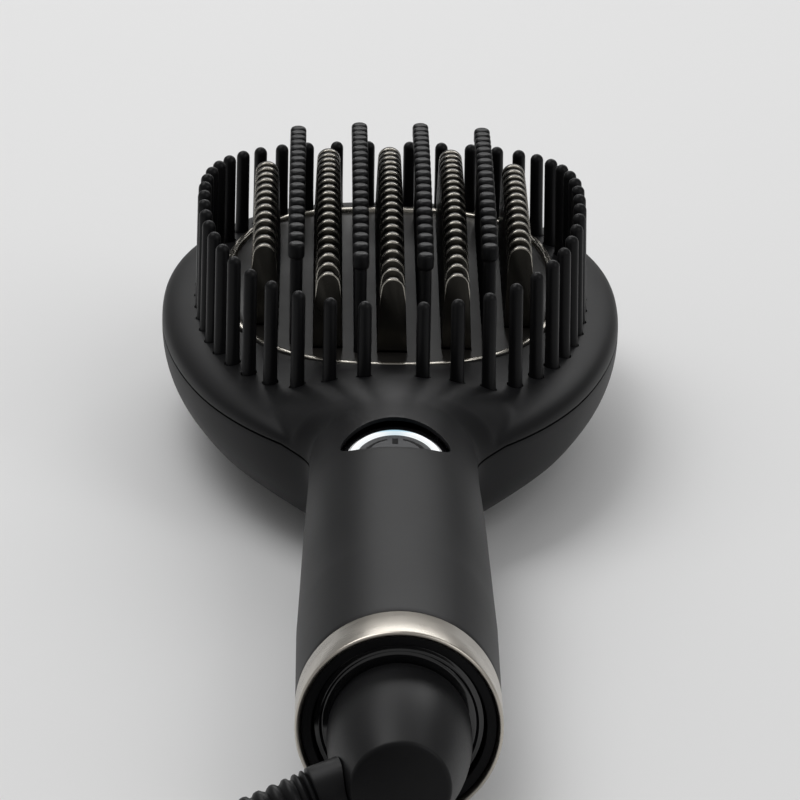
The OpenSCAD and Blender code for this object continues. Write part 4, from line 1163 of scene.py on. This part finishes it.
class BRUSH_OT_inner_parts(bpy.types.Operator):
    """Gives the carried-over inner solids their finishes"""

    bl_idname = "brush.inner_parts"
    bl_label = "Inner parts"

    FINISH_OF = {
        "insulator_tray": "ceramic", "ptc_heaters": "ceramic", "temperature_sensor": "ceramic",
        "heater_clamp": "steel", "thermal_fuse": "steel", "cover_screws": "steel",
        "board_screws": "steel", "clamp_screws": "steel", "swivel_retainer": "steel",
        "control_board": "board", "board_components": "chip", "tact_switch": "chip",
        "switch_plunger": "bristle", "contact_block": "chip", "contact_brushes": "brass",
        "slip_rings": "brass", "heater_wires": "wire",
    }

    def execute(self, context):
        for name, kind in self.FINISH_OF.items():
            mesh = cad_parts[name].data
            mesh.materials.clear()
            mesh.materials.append(finish_named(kind))
        return {"FINISHED"}


class BRUSH_OT_studio(bpy.types.Operator):
    """Sets up the pale floor, its backdrop and the soft lamps"""

    bl_idname = "brush.studio"
    bl_label = "Studio"

    def execute(self, context):
        c = context.scene.brush_colours
        bm = bmesh.new()
        steps = 24

        def place(i, j):
            x = -6 + 12 * i / 2
            if j == 0:
                return Vector((x, -5, 0))
            if j == steps:
                return Vector((x, 5.2, 6))
            a = math.pi / 2 * (j - 1) / (steps - 2)
            return Vector((x, 4 + 1.2 * math.sin(a), 1.2 - 1.2 * math.cos(a)))

        laid_sheet(bm, 2, steps, place)
        floor = bare_object("Floor", bm)
        floor.data.shade_smooth()
        floor.data.materials.append(finish("Studio floor", c.floor, 0.6, 0.03, grain=3, depth=0.0,
                                           cloud=400, shift=0.01, specular=0.2))

        world = bpy.data.worlds.new("Studio")
        context.scene.world = world
        world.use_nodes = True
        back = world.node_tree.nodes["Background"]
        back.inputs["Color"].default_value = (1, 1, 1, 1)
        back.inputs["Strength"].default_value = 0.36

        lamps = (("Key_lamp", (-0.5, 0.35, 1.25), (0.9, 0.9), 7.5),
                 ("Fill_lamp", (0.9, -0.5, 0.9), (0.6, 1.0), 3.2),
                 ("Rim_lamp", (0.15, 1.3, 0.8), (1.2, 0.5), 5.5))
        for name, place_at, size, power in lamps:
            data = bpy.data.lights.new(name, "AREA")
            data.shape, data.size, data.size_y, data.energy = "RECTANGLE", *size, power
            lamp = bpy.data.objects.new(name, data)
            context.scene.collection.objects.link(lamp)
            lamp.location = place_at
            lamp.rotation_mode = "QUATERNION"
            lamp.rotation_quaternion = (Vector((0, 0.02, 0.02)) - Vector(place_at)).to_track_quat("-Z", "Y")
        context.scene.view_settings.view_transform = "Standard"
        return {"FINISHED"}


OPERATORS = (BRUSH_OT_camera, BRUSH_OT_lead, BRUSH_OT_covers, BRUSH_OT_heated_plate, BRUSH_OT_knobs,
             BRUSH_OT_guard_pins, BRUSH_OT_button, BRUSH_OT_handle_end, BRUSH_OT_inner_parts,
             BRUSH_OT_studio)
GROUPS = {"brush_covers": CoverSizes, "brush_field": FieldSizes, "brush_button": ButtonSizes,
          "brush_end": EndSizes, "brush_lead": LeadSizes, "brush_colours": BrushColours}


class BRUSH_PT_panel(bpy.types.Panel):
    """Sizes, colours and building steps of the brush"""

    bl_idname = "BRUSH_PT_panel"
    bl_label = "Heated paddle brush"
    bl_space_type = "VIEW_3D"
    bl_region_type = "UI"
    bl_category = "Brush"

    def draw(self, context):
        for group in GROUPS:
            box = self.layout.box()
            for name in getattr(context.scene, group).bl_rna.properties.keys():
                if name not in ("rna_type", "name"):
                    box.prop(getattr(context.scene, group), name)
        for kind in OPERATORS:
            self.layout.operator(kind.bl_idname)


def register():
    for kind in (*GROUPS.values(), *OPERATORS, BRUSH_PT_panel):
        bpy.utils.register_class(kind)
    for name, kind in GROUPS.items():
        setattr(bpy.types.Scene, name, bpy.props.PointerProperty(type=kind))


def unregister():
    for name in GROUPS:
        delattr(bpy.types.Scene, name)
    for kind in reversed((*GROUPS.values(), *OPERATORS, BRUSH_PT_panel)):
        bpy.utils.unregister_class(kind)


def main():
    register()
    for kind in OPERATORS:
        group, name = kind.bl_idname.split(".")
        getattr(getattr(bpy.ops, group), name)()


if __name__ == "__main__":
    main()
